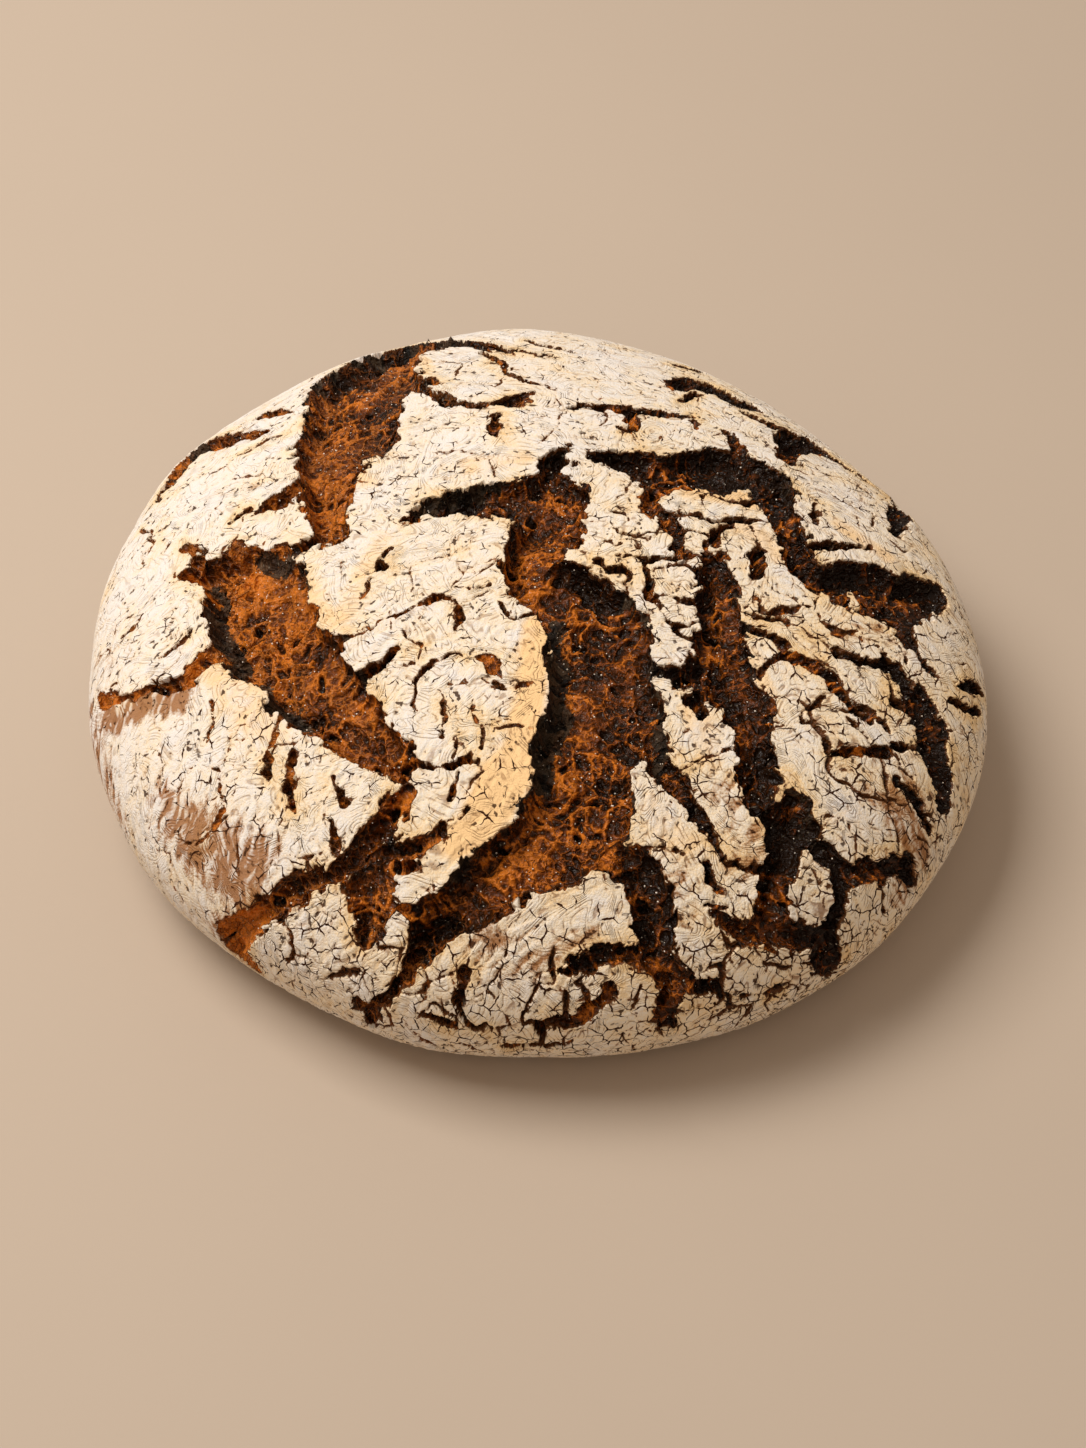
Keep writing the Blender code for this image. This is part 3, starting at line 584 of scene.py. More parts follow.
def distance_to_route(u, v, stations, slack=5.0):
    """Distance to a route's edge, below zero inside it, over the part of the plan around it."""
    route = smooth_route(stations)
    margin = route[:, 2].max() + FARTHEST + slack
    around = tuple(plan_span(route[:, side].min() - margin, route[:, side].max() + margin) for side in (0, 1))
    nearest = np.full(u[around].shape, FARTHEST)
    for (ua, va, wa), (ub, vb, wb) in zip(route, route[1:]):
        margin = max(wa, wb) + FARTHEST + slack
        rows = plan_span(min(ua, ub) - margin, max(ua, ub) + margin)
        columns = plan_span(min(va, vb) - margin, max(va, vb) + margin)
        near_u, near_v = u[rows, columns], v[rows, columns]
        length = max((ub - ua) ** 2 + (vb - va) ** 2, 1e-9)
        t = np.clip(((near_u - ua) * (ub - ua) + (near_v - va) * (vb - va)) / length, 0, 1)
        gap = np.hypot(near_u - ua - t * (ub - ua), near_v - va - t * (vb - va)) - (wa + t * (wb - wa))
        row, column = rows.start - around[0].start, columns.start - around[1].start
        part = nearest[row:row + gap.shape[0], column:column + gap.shape[1]]
        np.minimum(part, gap, out=part)
    return around, nearest


def split_fields(u, v, wall_width):
    """Distance to the nearest split's edge, below zero inside, with the split's depth and wall there."""
    closeness = np.full(u.shape, np.exp(-FARTHEST / ROUNDING))
    depth, wall = np.zeros(u.shape), np.zeros(u.shape)
    for split_depth, *stations in SPLITS.values():
        around, gap = distance_to_route(u, v, stations)
        near = np.exp(np.clip(-gap / ROUNDING, -20, 20))
        closeness[around] += near
        depth[around] += near * split_depth
        wall[around] += near * np.clip(0.8 * max(station[2] for station in stations), 1.3, wall_width)
    edge, depth, wall = -ROUNDING * np.log(closeness), depth / closeness, np.maximum(wall / closeness, 1.0)
    webs = [(web_depth, *[(*place, half * WEB_OPENING) for *place, half in stations])
            for web_depth, *cracks in CRACK_WEBS.values() for stations in cracks]
    for split_depth, *stations in [*FINE_SPLITS.values(), *webs]:
        around, gap = distance_to_route(u, v, stations)
        share = 1 / (1 + np.exp(np.clip((gap - edge[around]) / 0.4, -20, 20)))
        depth[around] += share * (split_depth - depth[around])
        steep = np.clip(0.8 * max(station[2] for station in stations), 1.1, wall_width)
        wall[around] += share * (steep - wall[around])
        edge[around] = np.minimum(edge[around], gap)
    return edge, depth, wall


def places_map(u, v, routes, soft=5.0):
    """The routes' strengths over their places, fading out at their edges."""
    field = np.zeros(u.shape)
    for strength, *stations in routes:
        around, gap = distance_to_route(u, v, stations)
        field[around] = np.maximum(field[around], strength * ease(0.6 - gap / soft))
    return field


def cell_numbers(u, v, size, seed):
    """Break the plan into uneven cells: each place's own cell, and the way to it from the cell's middle."""
    middles = np.random.default_rng(seed).uniform(0.06, 0.94, (CELL_TABLE, CELL_TABLE, 2))
    x, y = u / size, v / size
    i, j = np.floor(x).astype(int), np.floor(y).astype(int)
    fx, fy = x - i, y - j
    nearest = np.full(u.shape, FAR_OFF)
    to_x, to_y, cell = np.zeros(u.shape), np.zeros(u.shape), np.zeros(u.shape, int)
    for a in (-1, 0, 1):
        for b in (-1, 0, 1):
            row, column = (i + a) % CELL_TABLE, (j + b) % CELL_TABLE
            dx, dy = a + middles[row, column, 0] - fx, b + middles[row, column, 1] - fy
            closer = dx * dx + dy * dy < nearest
            nearest = np.where(closer, dx * dx + dy * dy, nearest)
            to_x, to_y = np.where(closer, dx, to_x), np.where(closer, dy, to_y)
            cell = np.where(closer, row * CELL_TABLE + column, cell)
    return cell, to_x, to_y, (middles, i, j, fx, fy)


def for_cell(cell, seed, lowest=-1.0, values=1):
    """Random values up to 1 that belong to each place's own cell."""
    return np.random.default_rng(seed).uniform(lowest, 1.0, (values, CELL_TABLE ** 2))[:, cell]


def crazed(u, v, size, seed):
    """Cells with the distance to their edges: own cell, edge distance, the edge's chance, offset."""
    cell, to_x, to_y, (middles, i, j, fx, fy) = cell_numbers(u, v, size, seed)
    gap, other = np.full(u.shape, FAR_OFF), np.zeros(u.shape, int)
    for a in (-2, -1, 0, 1, 2):
        for b in (-2, -1, 0, 1, 2):
            row, column = (i + a) % CELL_TABLE, (j + b) % CELL_TABLE
            dx, dy = a + middles[row, column, 0] - fx, b + middles[row, column, 1] - fy
            ex, ey = dx - to_x, dy - to_y
            apart = np.hypot(ex, ey)
            away = ((to_x + dx) * ex + (to_y + dy) * ey) / (2 * np.maximum(apart, 1e-6))
            closer = (apart > 1e-6) & (away < gap)
            gap = np.where(closer, away, gap)
            other = np.where(closer, row * CELL_TABLE + column, other)
    chances = np.random.default_rng(seed + 1).uniform(0, 1, EDGE_TABLE)
    chance = chances[(cell * other + cell + other) % EDGE_TABLE]
    return cell, gap * size, chance, (-to_x * size, -to_y * size)


def crackle_zones(u, v):
    """How far the crazing has opened, over the plan."""
    zone = np.full(u.shape, CRACKLE_ELSEWHERE)
    for middle_u, middle_v, reach_u, reach_v, strength in CRACKLED:
        out = np.hypot((u - middle_u) / reach_u, (v - middle_v) / reach_v)
        zone = np.maximum(zone, strength * ease((1.25 - out) / 0.5))
    return zone


def stretch_cells(u, v):
    """Places drawn together along the pull and apart across it, so that cells there come out long."""
    (middle_u, middle_v), turn = STRETCHED["middle"], np.radians(STRETCHED["turn"])
    along = (u - middle_u) * np.cos(turn) + (v - middle_v) * np.sin(turn)
    across = (v - middle_v) * np.cos(turn) - (u - middle_u) * np.sin(turn)
    pull = STRETCHED["pull"] * ease(1.3 - np.hypot(along, across) / STRETCHED["reach"])
    return along * (1 - pull), across * (1 + pull)


def gas_holes(cell, offset, largest):
    """Round gas holes in some of the crumb's cells, and the raised ring round each, from 0 to 1."""
    drawn = for_cell(cell, 137, lowest=0.0)[0]
    radius = np.where(drawn > 1 - GAS_HOLE_CHANCE, largest * (drawn - 0.2) / 0.8, -2.0)
    outside = np.hypot(*offset) - radius
    ring = np.exp(-((outside - 0.5) / GAS_HOLE_RIM) ** 2) * (radius > 0)
    return ease(0.5 - outside / (2 * GAS_HOLE_RIM)), ring


def crumb_fields(u, v, sizes):
    """Height of the torn crumb over its floor, and how light it is drawn, from 0 to 1: painted light on its
    lumps, folds, strands, webs and hole rims, and painted shade in its hollows and gas holes.
    """
    u, v = wandered(u, v, {9.0: 3.0, 4.0: 1.5, 1.8: 0.6}, 120)
    lumps = bumps(u, v, 10.0, 133)
    fold = 1 - np.abs(bumps(u, v, 7.0, 130)) * 2.0
    strand = np.clip(1 - np.abs(bumps(u, v, 3.4, 131)) * 4.0, 0, 1)
    combed = ease(0.6 + 1.4 * bumps(u, v, 17.0, 135))
    height = sizes.crumb_fold / MM * (0.8 * lumps + 0.6 * fold + 0.35 * strand - 0.3)
    # Painted light and shade: raised lumps, folds and strands are drawn lighter, and below each cell's webs
    # are drawn lighter and its hollows darker; the slow bumps are the crumb's own uneven colour.
    tone_with_light_and_shade = 0.42 + 0.24 * lumps + 0.14 * fold + 0.26 * strand + 0.16 * bumps(u, v, 23.0, 139)
    cells = [crazed(u, v, size, seed) for size, seed, *_ in CRUMB_CELLS]
    for (size, seed, thick, deep, light), (cell, away, chance, _) in zip(CRUMB_CELLS, cells):
        web = np.exp(-(away / thick) ** 2) * ease(chance * 2.2)
        hollow = for_cell(cell, seed + 2, lowest=0.1)[0] * ease(away / (size / 3))
        height += combed * (1.5 * thick * web - deep * hollow)
        tone_with_light_and_shade += combed * light * (web - 0.9 * hollow)
    coarse_cell, *_, offset = cells[0]
    hole, ring = gas_holes(coarse_cell, offset, sizes.hole_radius / MM)
    # Painted highlight on each gas hole's raised ring, and painted shade in the hole.
    return height + GAS_HOLE_RIM * ring - GAS_HOLE_DEPTH * hole, tone_with_light_and_shade + 0.40 * ring - 0.5 * hole


def over(chosen, make, *arrays):
    """What make works out for the chosen places only, with 0 at the others."""
    results = make(*(array[chosen] for array in arrays))
    whole = [np.zeros(chosen.shape) for _ in results]
    for field, result in zip(whole, results):
        field[chosen] = result
    return whole


def crackle_fields(u, v, zone, sizes):
    """Distance to the nearest craze's edge, below zero inside it, and how far the plates stand up or down."""
    wavy = wandered(u, v, {11.0: 1.5, 4.5: 0.7}, 70)
    cell_u, cell_v = stretch_cells(*wandered(*wavy, {2.4: 0.8, 1.1: 0.35}, 90, angular=True))
    uneven = bumps(u, v, 6.0, 77)
    gap, lift = np.full(u.shape, FAR_OFF), np.zeros(u.shape)
    for size, seed, share, closed in CRAZES:
        cell, away, chance, (off_u, off_v) = crazed(cell_u, cell_v, size, seed)
        opened = 1.45 * zone - closed + 1.1 * (chance - 1) + 0.4 * uneven
        width = np.sign(opened) * np.abs(np.clip(opened, -0.6, 1.25)) ** 1.6
        half = sizes.crack_width / MM * share * width
        gap = np.minimum(gap, away - half)
        turn = for_cell(cell, seed + 2, values=3)
        raised = 0.4 * turn[0] + (off_u * turn[1] + off_v * turn[2]) / size * 0.7
        parted = np.maximum(ease(away / 2.4), ease(half * 2.5))
        lift += share * np.clip(zone * 1.2, 0.2, 1.0) * raised * parted
    return gap, lift


def skin_ridges(u, v, turns=6):
    """The ridges and valleys of the stretched skin, from -1 to 1: long bumps that follow the dough's flow."""
    cosine, sine = np.zeros(u.shape), np.zeros(u.shape)
    for flow_u, flow_v, angle in FLOWS:
        weight = 1 / ((u - flow_u) ** 2 + (v - flow_v) ** 2 + 120.0) ** 2
        cosine += weight * np.cos(2 * np.radians(angle))
        sine += weight * np.sin(2 * np.radians(angle))
    way = np.arctan2(sine, cosine) + 0.9 * bumps(u, v, 14.0, 180)
    u, v = wandered(u, v, {7.0: 1.4, 3.0: 0.5}, 181)
    ridges, total = np.zeros(u.shape), np.zeros(u.shape)
    for turn in range(turns):
        angle = np.pi * turn / turns
        weight = np.maximum(np.cos(way - 2 * angle), 0) ** 3
        along, across = u * np.cos(angle) + v * np.sin(angle), v * np.cos(angle) - u * np.sin(angle)
        ridges += weight * bumps(along / RIDGE_LENGTH, across, RIDGE_PITCH, 200 + turn)
        total += weight ** 2
    return ridges / np.sqrt(total)


def torn_edges_plan(u, v, torn, sizes):
    """Distance to the splits' edges, first calm and then torn and chipped, and the splits' depth and wall."""
    full_wall = sizes.wall_width / MM
    calm, *_ = split_fields(*torn, full_wall)
    edge, depth, wall = split_fields(*wandered(*torn, FINE_TEAR, 40, angular=True), full_wall)
    for stations in ISLANDS:
        around, gap = distance_to_route(*torn, stations)
        calm[around] = np.maximum(calm[around], -gap)
        edge[around] = np.maximum(edge[around], -gap)
    for turn, (size, reach) in enumerate(CHIPS.items()):
        places = wandered(u, v, {size * 0.7: size * 0.2}, 60, angular=True)
        chipped = for_cell(cell_numbers(*places, size, 9 + turn)[0], 4 + turn)[0]
        reach = reach * np.maximum(wall / full_wall, LEAST_CHIP)
        edge = edge + reach * chipped * np.exp(-(edge / size / 0.6) ** 2)
    edge = edge + 0.25 * ease((2.2 - wall) / 0.8) * bumps(u, v, 2.8, 64, angular=True)
    return calm, edge, depth, wall


def charred_flakes(u, v):
    """Small flakes that each stand up at a slant of their own."""
    flake, to_u, to_v, _ = cell_numbers(*wandered(u, v, {3.0: 1.0}, 158, angular=True), FLAKE_SIZE, 15)
    turn = for_cell(flake, 16, values=3)
    return 0.5 * turn[0] + 1.6 * (to_u * turn[1] + to_v * turn[2])


def crust_plan(sizes):
    """Everything known about the crust, laid flat from the crown outwards on one plan."""
    axis = np.arange(-PLAN_HALF, PLAN_HALF + PLAN_PITCH / 2, PLAN_PITCH)
    u, v = np.meshgrid(axis, axis, indexing="ij")
    torn = wandered(u, v, TEAR, 10)
    calm, edge, depth, wall = torn_edges_plan(u, v, torn, sizes)
    across, away = np.gradient(calm, PLAN_PITCH)
    slope = np.maximum(np.hypot(across, away), 1e-6)
    wall_share = np.clip(-edge / wall, 0, 1)
    inside = ease(wall_share)
    keep = ease((RUN[-1] - np.hypot(u, v)) / SOLE_EDGE)

    zone = crackle_zones(u, v)
    on_loaf = np.hypot(u, v) < RUN[-1] + 2
    whole = on_loaf & (edge > -1.0)
    gap, lift = over(whole, lambda *places: crackle_fields(*places, sizes), u, v, zone)
    gap[~whole] = 1.0
    grain = np.zeros(u.shape)
    grain[whole] = skin_ridges(u[whole], v[whole])
    open_crust = on_loaf & ((edge < 2.0) | (gap < 1.0))
    crumb_height, crumb_tone_with_light_and_shade = over(open_crust, lambda *places: crumb_fields(*places, sizes), u, v)
    charred = places_map(*wandered(*torn, {6.0: 2.4, 2.6: 1.2}, 157, angular=True), CHARRED_AND_SHADED, 3.0)

    # The floured skin: swells, tilted plates, curled edges and ridges, calmer towards the right.
    smoother = 1 - 0.5 * ease((u + 40) / 90)
    plate = ease(edge / 0.5) * ease(gap / 0.4)
    lip = np.exp(-np.maximum(np.minimum(edge, gap * 1.3), 0) / LIP_WIDTH)
    curl = ease(edge / 0.4 + 1) * np.exp(-np.maximum(edge, 0) / CURL_REACH)
    curl = curl * (0.5 + 0.5 * bumps(u, v, 16.0, 153))
    wrinkled = grain + 0.30 * bumps(*wandered(u, v, {5.0: 1.5}, 150), 4.2, 151)
    height = SWELL_HEIGHT * bumps(u, v, SWELL_SIZE, 1)
    height += (1 - inside) * (sizes.plate_lift / MM * lift * smoother + CURL_HEIGHT * curl)
    height += plate * sizes.wrinkle / MM * wrinkled * smoother - LIP_DROP * lip

    # The crazes and splits cut into it, with the crumb and its charred flakes on their floors.
    crack = ease(-gap / 0.4) * (1 - inside) * np.clip(0.35 + 0.65 * zone, 0, 1)
    height -= crack * sizes.crack_depth / MM
    height += crack * 0.3 * crumb_height + ease(-edge / 1.2) * crumb_height
    height += FLAKE_HEIGHT * charred * ease(-edge / 0.8) * charred_flakes(u, v)
    leaning = 1 - 0.25 * across / slope * ease(1.5 + calm / 8.0)
    height -= np.maximum(inside * depth * leaning, sizes.crust_thickness / MM * ease(-edge / 0.45))
    shift = sizes.undercut / MM * np.sin(np.pi * wall_share) * np.clip(depth / 7.0, 0, 1)

    # Painted shade: the crumb is darkened under the crust's edge and on walls that face the near side, where
    # shadow falls.
    painted_wall_shade = np.clip(0.45 + 0.75 * away / slope, 0, 1) * np.clip(depth / 6.0, 0, 1)
    crumb_tone_with_light_and_shade += places_map(*torn, PALE_CRUMB, 6.0) - places_map(*torn, DARK_CRUMB, 6.0)
    crumb_tone_with_light_and_shade -= 0.28 * (1 - ease(-edge))
    crumb_tone_with_light_and_shade -= 0.24 * painted_wall_shade * ease(-edge / 0.5) * ease(1.25 - wall_share)
    at_sole = FAR_OFF * (1 - ease(keep * 3))
    return {
        "height": keep * height,
        "shift_u": keep * shift * across / slope,
        "shift_v": keep * shift * away / slope,
        "calm": calm, "calm_u": across, "calm_v": away,
        "edge": edge + at_sole, "gap": gap + at_sole, "zone": zone, "crumb": crumb_tone_with_light_and_shade, "grain": grain,
        "toast": places_map(*torn, TOASTED), "char": charred,
        "rub": places_map(*torn, RUBBED, 16.0),
    }


def read_plan(field, u, v):
    """A field's value at places between those of the plan."""
    x = np.clip((u + PLAN_HALF) / PLAN_PITCH, 0, field.shape[0] - 1.001)
    y = np.clip((v + PLAN_HALF) / PLAN_PITCH, 0, field.shape[1] - 1.001)
    i, j = x.astype(int), y.astype(int)
    return blend_corners(lambda a, b: field[i + a, j + b], x - i, y - j)


def disc_from_square(x, y):
    """A square's places drawn in so that it fills a round disc evenly."""
    reach = np.maximum(np.abs(x), np.abs(y))
    ratio = np.minimum(np.abs(x), np.abs(y)) / np.maximum(reach, 1e-9)
    turn = ratio * np.pi / 4
    angle = np.where(np.abs(x) >= np.abs(y), turn, np.pi / 2 - turn)
    return reach * np.cos(angle) * np.sign(x), reach * np.sin(angle) * np.sign(y)


def crust_places(x, y, plan, even=0.79, draw=0.5, near=3.0):
    """Where a square's places lie on the crust, crowded towards the splits' edges and to the crown."""
    x, y = disc_from_square(np.clip(x, -1, 1), np.clip(y, -1, 1))
    reach = np.maximum(np.hypot(x, y), 1e-9)
    run = RUN[-1] * (even * reach + (1 - even) * reach ** 4)
    u, v = x / reach * run, y / reach * run
    away = read_plan(plan["calm"], u, v)
    pull = draw * away * np.exp(-(away / near) ** 2) * ease((RUN[-1] - run) / SOLE_EDGE)
    return u - pull * read_plan(plan["calm_u"], u, v), v - pull * read_plan(plan["calm_v"], u, v)


def crust_points(u, v, plan):
    """The finished crust's points, in millimetres, for places on it."""
    height = read_plan(plan["height"], u, v)
    moved_u, moved_v = u + read_plan(plan["shift_u"], u, v), v + read_plan(plan["shift_v"], u, v)
    return on_dome(moved_u, moved_v) + height[..., None] * dome_normal(moved_u, moved_v)


def add_node(tree, kind, inputs=None, out=0, **settings):
    """Add one node with its settings and what goes into it, and give back one of its outputs.

    Inputs go by name or number. A map range reads from 1 to 2 and gives from 3 to 4, and a mix goes by 0
    from 2 to 3 for numbers and from 6 to 7 for colours."""
    node = tree.nodes.new("ShaderNode" + kind)
    for name, value in settings.items():
        setattr(node, name, value)
    for socket, value in (inputs or {}).items():
        if isinstance(value, bpy.types.NodeSocket):
            tree.links.new(value, node.inputs[socket])
        else:
            node.inputs[socket].default_value = value
    return node.outputs[out]


def new_material(name):
    """An empty material with its shader, and the tree that they are in."""
    material = bpy.data.materials.get(name) or bpy.data.materials.new(name)
    material.use_nodes = True
    tree = material.node_tree
    tree.nodes.clear()
    shader = tree.nodes.new("ShaderNodeBsdfPrincipled")
    output = tree.nodes.new("ShaderNodeOutputMaterial")
    tree.links.new(shader.outputs["BSDF"], output.inputs["Surface"])
    return material, tree, shader


def rgba(colour):
    """A colour setting with full cover."""
    return (*colour, 1.0)


def set_ramp(socket, stops):
    """Set a colour ramp's stops from positions and colours."""
    ramp = socket.node.color_ramp
    while len(ramp.elements) < len(stops):
        ramp.elements.new(0.5)
    for element, (position, colour) in zip(ramp.elements, stops):
        element.position = position
        element.color = rgba(colour)


def layered(add, colour, layers):
    """A colour with others laid over it in turn, each by its own share."""
    for share, over_it in layers:
        colour = add("Mix", {0: share, 6: colour, 7: over_it}, out=2, data_type="RGBA")
    return colour


# The noises that the crust is drawn with: the size of their bumps in millimetres, detail and roughness, and
# whether they vary over the crust alone or with its height too.
CRUST_NOISES = {
    "ragged": (1.7, 4.0, 0.72, "2D"),
    "broken": (4.0, 2.0, 0.5, "2D"),
    "tooth": (0.7, 2.5, 0.6, "2D"),
    "patches": (17.0, 3.0, 0.55, "2D"),
    "cracking": (6.0, 2.0, 0.5, "2D"),
    "dashed": (2.0, 1.0, 0.5, "2D"),
    "broad": (26.0, 1.5, 0.5, "2D"),
    "frosted": (11.0, 2.0, 0.5, "3D"),
    "mottle": (2.2, 2.5, 0.5, "3D"),
}


def draw_torn_edges(add, at):
    """Give the distances to the torn edges and crazes teeth of about 1.5 mm and finer."""
    at.ragged = add("MapRange", {"Value": at.ragged, 1: 0.25, 2: 0.75, 3: -0.5, 4: 0.5})
    swirl = add("TexNoise", {"Vector": at.place, "Scale": 1 / 2.2, "Detail": 1.5}, out="Color",
                noise_dimensions="2D")
    swirl = add("VectorMath", {0: swirl, 1: (0.5, 0.5, 0.5)}, operation="SUBTRACT")
    at.swirl = add("VectorMath", {0: swirl, 1: (1.5, 1.5, 1.5), 2: at.place}, operation="MULTIPLY_ADD")
    teeth = add("TexVoronoi", {"Vector": at.swirl, "Scale": 1 / 1.5}, out="Color", feature="F1",
                voronoi_dimensions="2D")
    teeth = add("MapRange", {"Value": teeth, 1: 0.1, 2: 0.9, 3: -0.5, 4: 0.5})
    at.edge = add("Math", {0: at.ragged, 1: 0.45, 2: at.edge}, operation="MULTIPLY_ADD")
    at.edge = add("Math", {0: teeth, 1: 0.65, 2: at.edge}, operation="MULTIPLY_ADD")
    at.gap = add("Math", {0: at.ragged, 1: 0.35, 2: at.gap}, operation="MULTIPLY_ADD")
    at.gap = add("Math", {0: teeth, 1: 0.35, 2: at.gap}, operation="MULTIPLY_ADD")
    at.near = add("Math", {0: at.edge, 1: at.gap}, operation="MINIMUM")
    at.plate = add("MapRange", {"Value": at.near, 1: -0.06, 2: 0.12, 3: 0.0, 4: 1.0},
                   interpolation_type="SMOOTHSTEP")


def draw_skin_lines(add, at):
    """Draw the faint lines about 1.3 mm apart that the dough's stretched skin has between its ridges."""
    stretch = add("TexNoise", {"Vector": at.place, "Scale": 1 / 22, "Detail": 2.6, "Roughness": 0.42,
                               "Distortion": 0.9}, noise_dimensions="2D")
    wave = add("Math", {0: stretch, 1: 120.0}, operation="MULTIPLY")
    wave = add("Math", {0: wave}, operation="SINE")
    faint = add("MapRange", {"Value": at.broken, 1: 0.38, 2: 0.62, 3: 0.1, 4: 0.6})
    at.flow = add("Math", {0: wave, 1: faint, 2: at.grain}, operation="MULTIPLY_ADD")
    # How far the flour has thinned towards the near right, which also carries painted shade on that side.
    at.thinning = add("VectorMath", {0: at.place, 1: FLOUR_THINNING_AND_SHADE}, out="Value", operation="DOT_PRODUCT")
    at.strokes = add("MapRange", {"Value": wave, 1: -0.98, 2: -0.72, 3: 1.0, 4: 0.0})
    drawn = add("MapRange", {"Value": at.broken, 1: 0.40, 2: 0.56, 3: 0.0, 4: 1.0})
    inked = add("MapRange", {"Value": at.thinning, 1: -0.17, 2: 0.26, 3: 0.20, 4: 0.85})
    for share in (drawn, inked):
        at.strokes = add("Math", {0: at.strokes, 1: share}, operation="MULTIPLY")


def draw_fine_marks(add, at):
    """Draw hairline cracks up to 0.6 mm wide round cells of about 5 mm, open in places only and more to the
    right, and short dark dashes in the valleys of the skin, where it tore."""
    cells = add("TexVoronoi", {"Vector": at.swirl, "Scale": 1 / 5.2}, feature="DISTANCE_TO_EDGE",
                voronoi_dimensions="2D")
    opened = add("Math", {0: at.zone, 1: 0.36, 2: at.cracking}, operation="MULTIPLY_ADD")
    opened = add("Math", {0: at.thinning, 1: 0.45, 2: opened}, operation="MULTIPLY_ADD")
    opened = add("MapRange", {"Value": opened, 1: 0.60, 2: 0.82, 3: 0.0, 4: 0.060})
    hairline = add("Math", {0: opened, 1: cells}, operation="SUBTRACT")
    hairline = add("MapRange", {"Value": hairline, 1: -0.004, 2: 0.010, 3: 0.0, 4: 1.0})
    valley = add("MapRange", {"Value": at.grain, 1: -0.55, 2: -0.25, 3: 1.0, 4: 0.0})
    dashes = add("Math", {0: at.zone, 1: 0.07, 2: at.dashed}, operation="MULTIPLY_ADD")
    dashes = add("MapRange", {"Value": dashes, 1: 0.61, 2: 0.66, 3: 0.0, 4: 0.9})
    dashes = add("Math", {0: dashes, 1: valley}, operation="MULTIPLY")
    at.marks = add("Math", {0: dashes, 1: hairline}, operation="MAXIMUM")


def flour_colour(add, at, colours):
    """Flour: thick and white in patches, thinner and cream between them and along the skin's lines, and
    thinner and tanner from the far left to the near right, where the basket gave less of it, with painted
    shade on that side, away from the light."""
    thin = add("Math", {0: at.patches, 1: 0.9, 2: at.thinning}, operation="MULTIPLY_ADD")
    thin = add("MapRange", {"Value": thin, 1: 0.16, 2: 1.16, 3: 0.0, 4: 1.0})
    thin = add("Math", {0: at.flow, 1: -0.17, 2: thin}, operation="MULTIPLY_ADD")
    broad = add("MapRange", {"Value": at.broad, 1: 0.44, 2: 0.62, 3: 0.0, 4: 1.0})
    browned = add("MapRange", {"Value": at.edge, 1: 0.0, 2: 6.0, 3: 0.6, 4: 0.0})
    thin = add("Math", {0: browned, 1: broad, 2: thin}, operation="MULTIPLY_ADD")
    speckle = add("MapRange", {"Value": at.tooth, 1: 0.35, 2: 0.65, 3: -0.16, 4: 0.16})
    thin = add("Math", {0: thin, 1: speckle}, operation="ADD", use_clamp=True)
    flour = add("ValToRGB", {"Fac": thin})
    set_ramp(flour, [(0.0, colours.flour_white), (0.5, colours.flour_cream), (1.0, colours.flour_tan)])
    toast = add("Math", {0: at.flow, 1: -0.08, 2: at.toast}, operation="MULTIPLY_ADD")
    toast = add("Math", {0: at.patches, 1: 0.9, 2: toast}, operation="MULTIPLY_ADD")
    toast = add("MapRange", {"Value": toast, 1: 0.55, 2: 1.35, 3: 0.0, 4: 1.0})
    worn = add("MapRange", {"Value": at.near, 1: 0.0, 2: 0.8, 3: 0.28, 4: 0.0})

    # Rubbed off the crust in streaks, and left on the skin's lines.
    rubbed = add("Math", {0: at.grain, 1: -0.55, 2: at.broken}, operation="MULTIPLY_ADD")
    rubbed = add("Math", {0: at.tooth, 1: 0.9, 2: rubbed}, operation="MULTIPLY_ADD")
    rubbed = add("Math", {0: at.rub, 1: 1.25, 2: rubbed}, operation="MULTIPLY_ADD")
    rubbed = add("MapRange", {"Value": rubbed, 1: 1.40, 2: 2.00, 3: 0.0, 4: 0.9})
    left_on = add("MapRange", {"Value": at.flow, 1: 0.1, 2: 0.7, 3: 1.0, 4: 0.3})
    rubbed = add("Math", {0: rubbed, 1: left_on}, operation="MULTIPLY")
    return layered(add, flour, ((toast, rgba(colours.toasted)), (worn, rgba(colours.toasted)),
                                (rubbed, rgba(colours.bare_crust)), (at.strokes, rgba(colours.cut_crust)),
                                (at.marks, rgba(colours.crumb_brown))))


def char_and_shade_colour(add, at, colours):
    """Burned edges and painted shade on the walls under them: black with ashen brown flakes of about 2.6 mm,
    lightened by painted sheen, ending raggedly in the crumb.
    """
    # Ash and painted sheen on the burned flakes.
    ash = add("MapRange", {"Value": at.ragged, 1: 0.05, 2: 0.4, 3: 0.0, 4: 0.9})
    leaf = add("TexVoronoi", {"Vector": at.swirl, "Scale": 1 / 2.6}, out="Color", feature="F1",
               voronoi_dimensions="2D")
    leaf = add("MapRange", {"Value": leaf, 1: 0.35, 2: 0.9, 3: 0.0, 4: 0.75})
    ash = add("Math", {0: ash, 1: 0.5, 2: leaf}, operation="MULTIPLY_ADD", use_clamp=True)
    # The black band of burned crust and painted shade, ending raggedly.
    at.char = add("Math", {0: at.ragged, 1: 1.1, 2: at.char}, operation="MULTIPLY_ADD")
    at.char = add("MapRange", {"Value": at.char, 1: 0.36, 2: 0.58, 3: 0.0, 4: 0.95})
    return layered(add, rgba(colours.charred), ((ash, rgba(colours.ash)),))


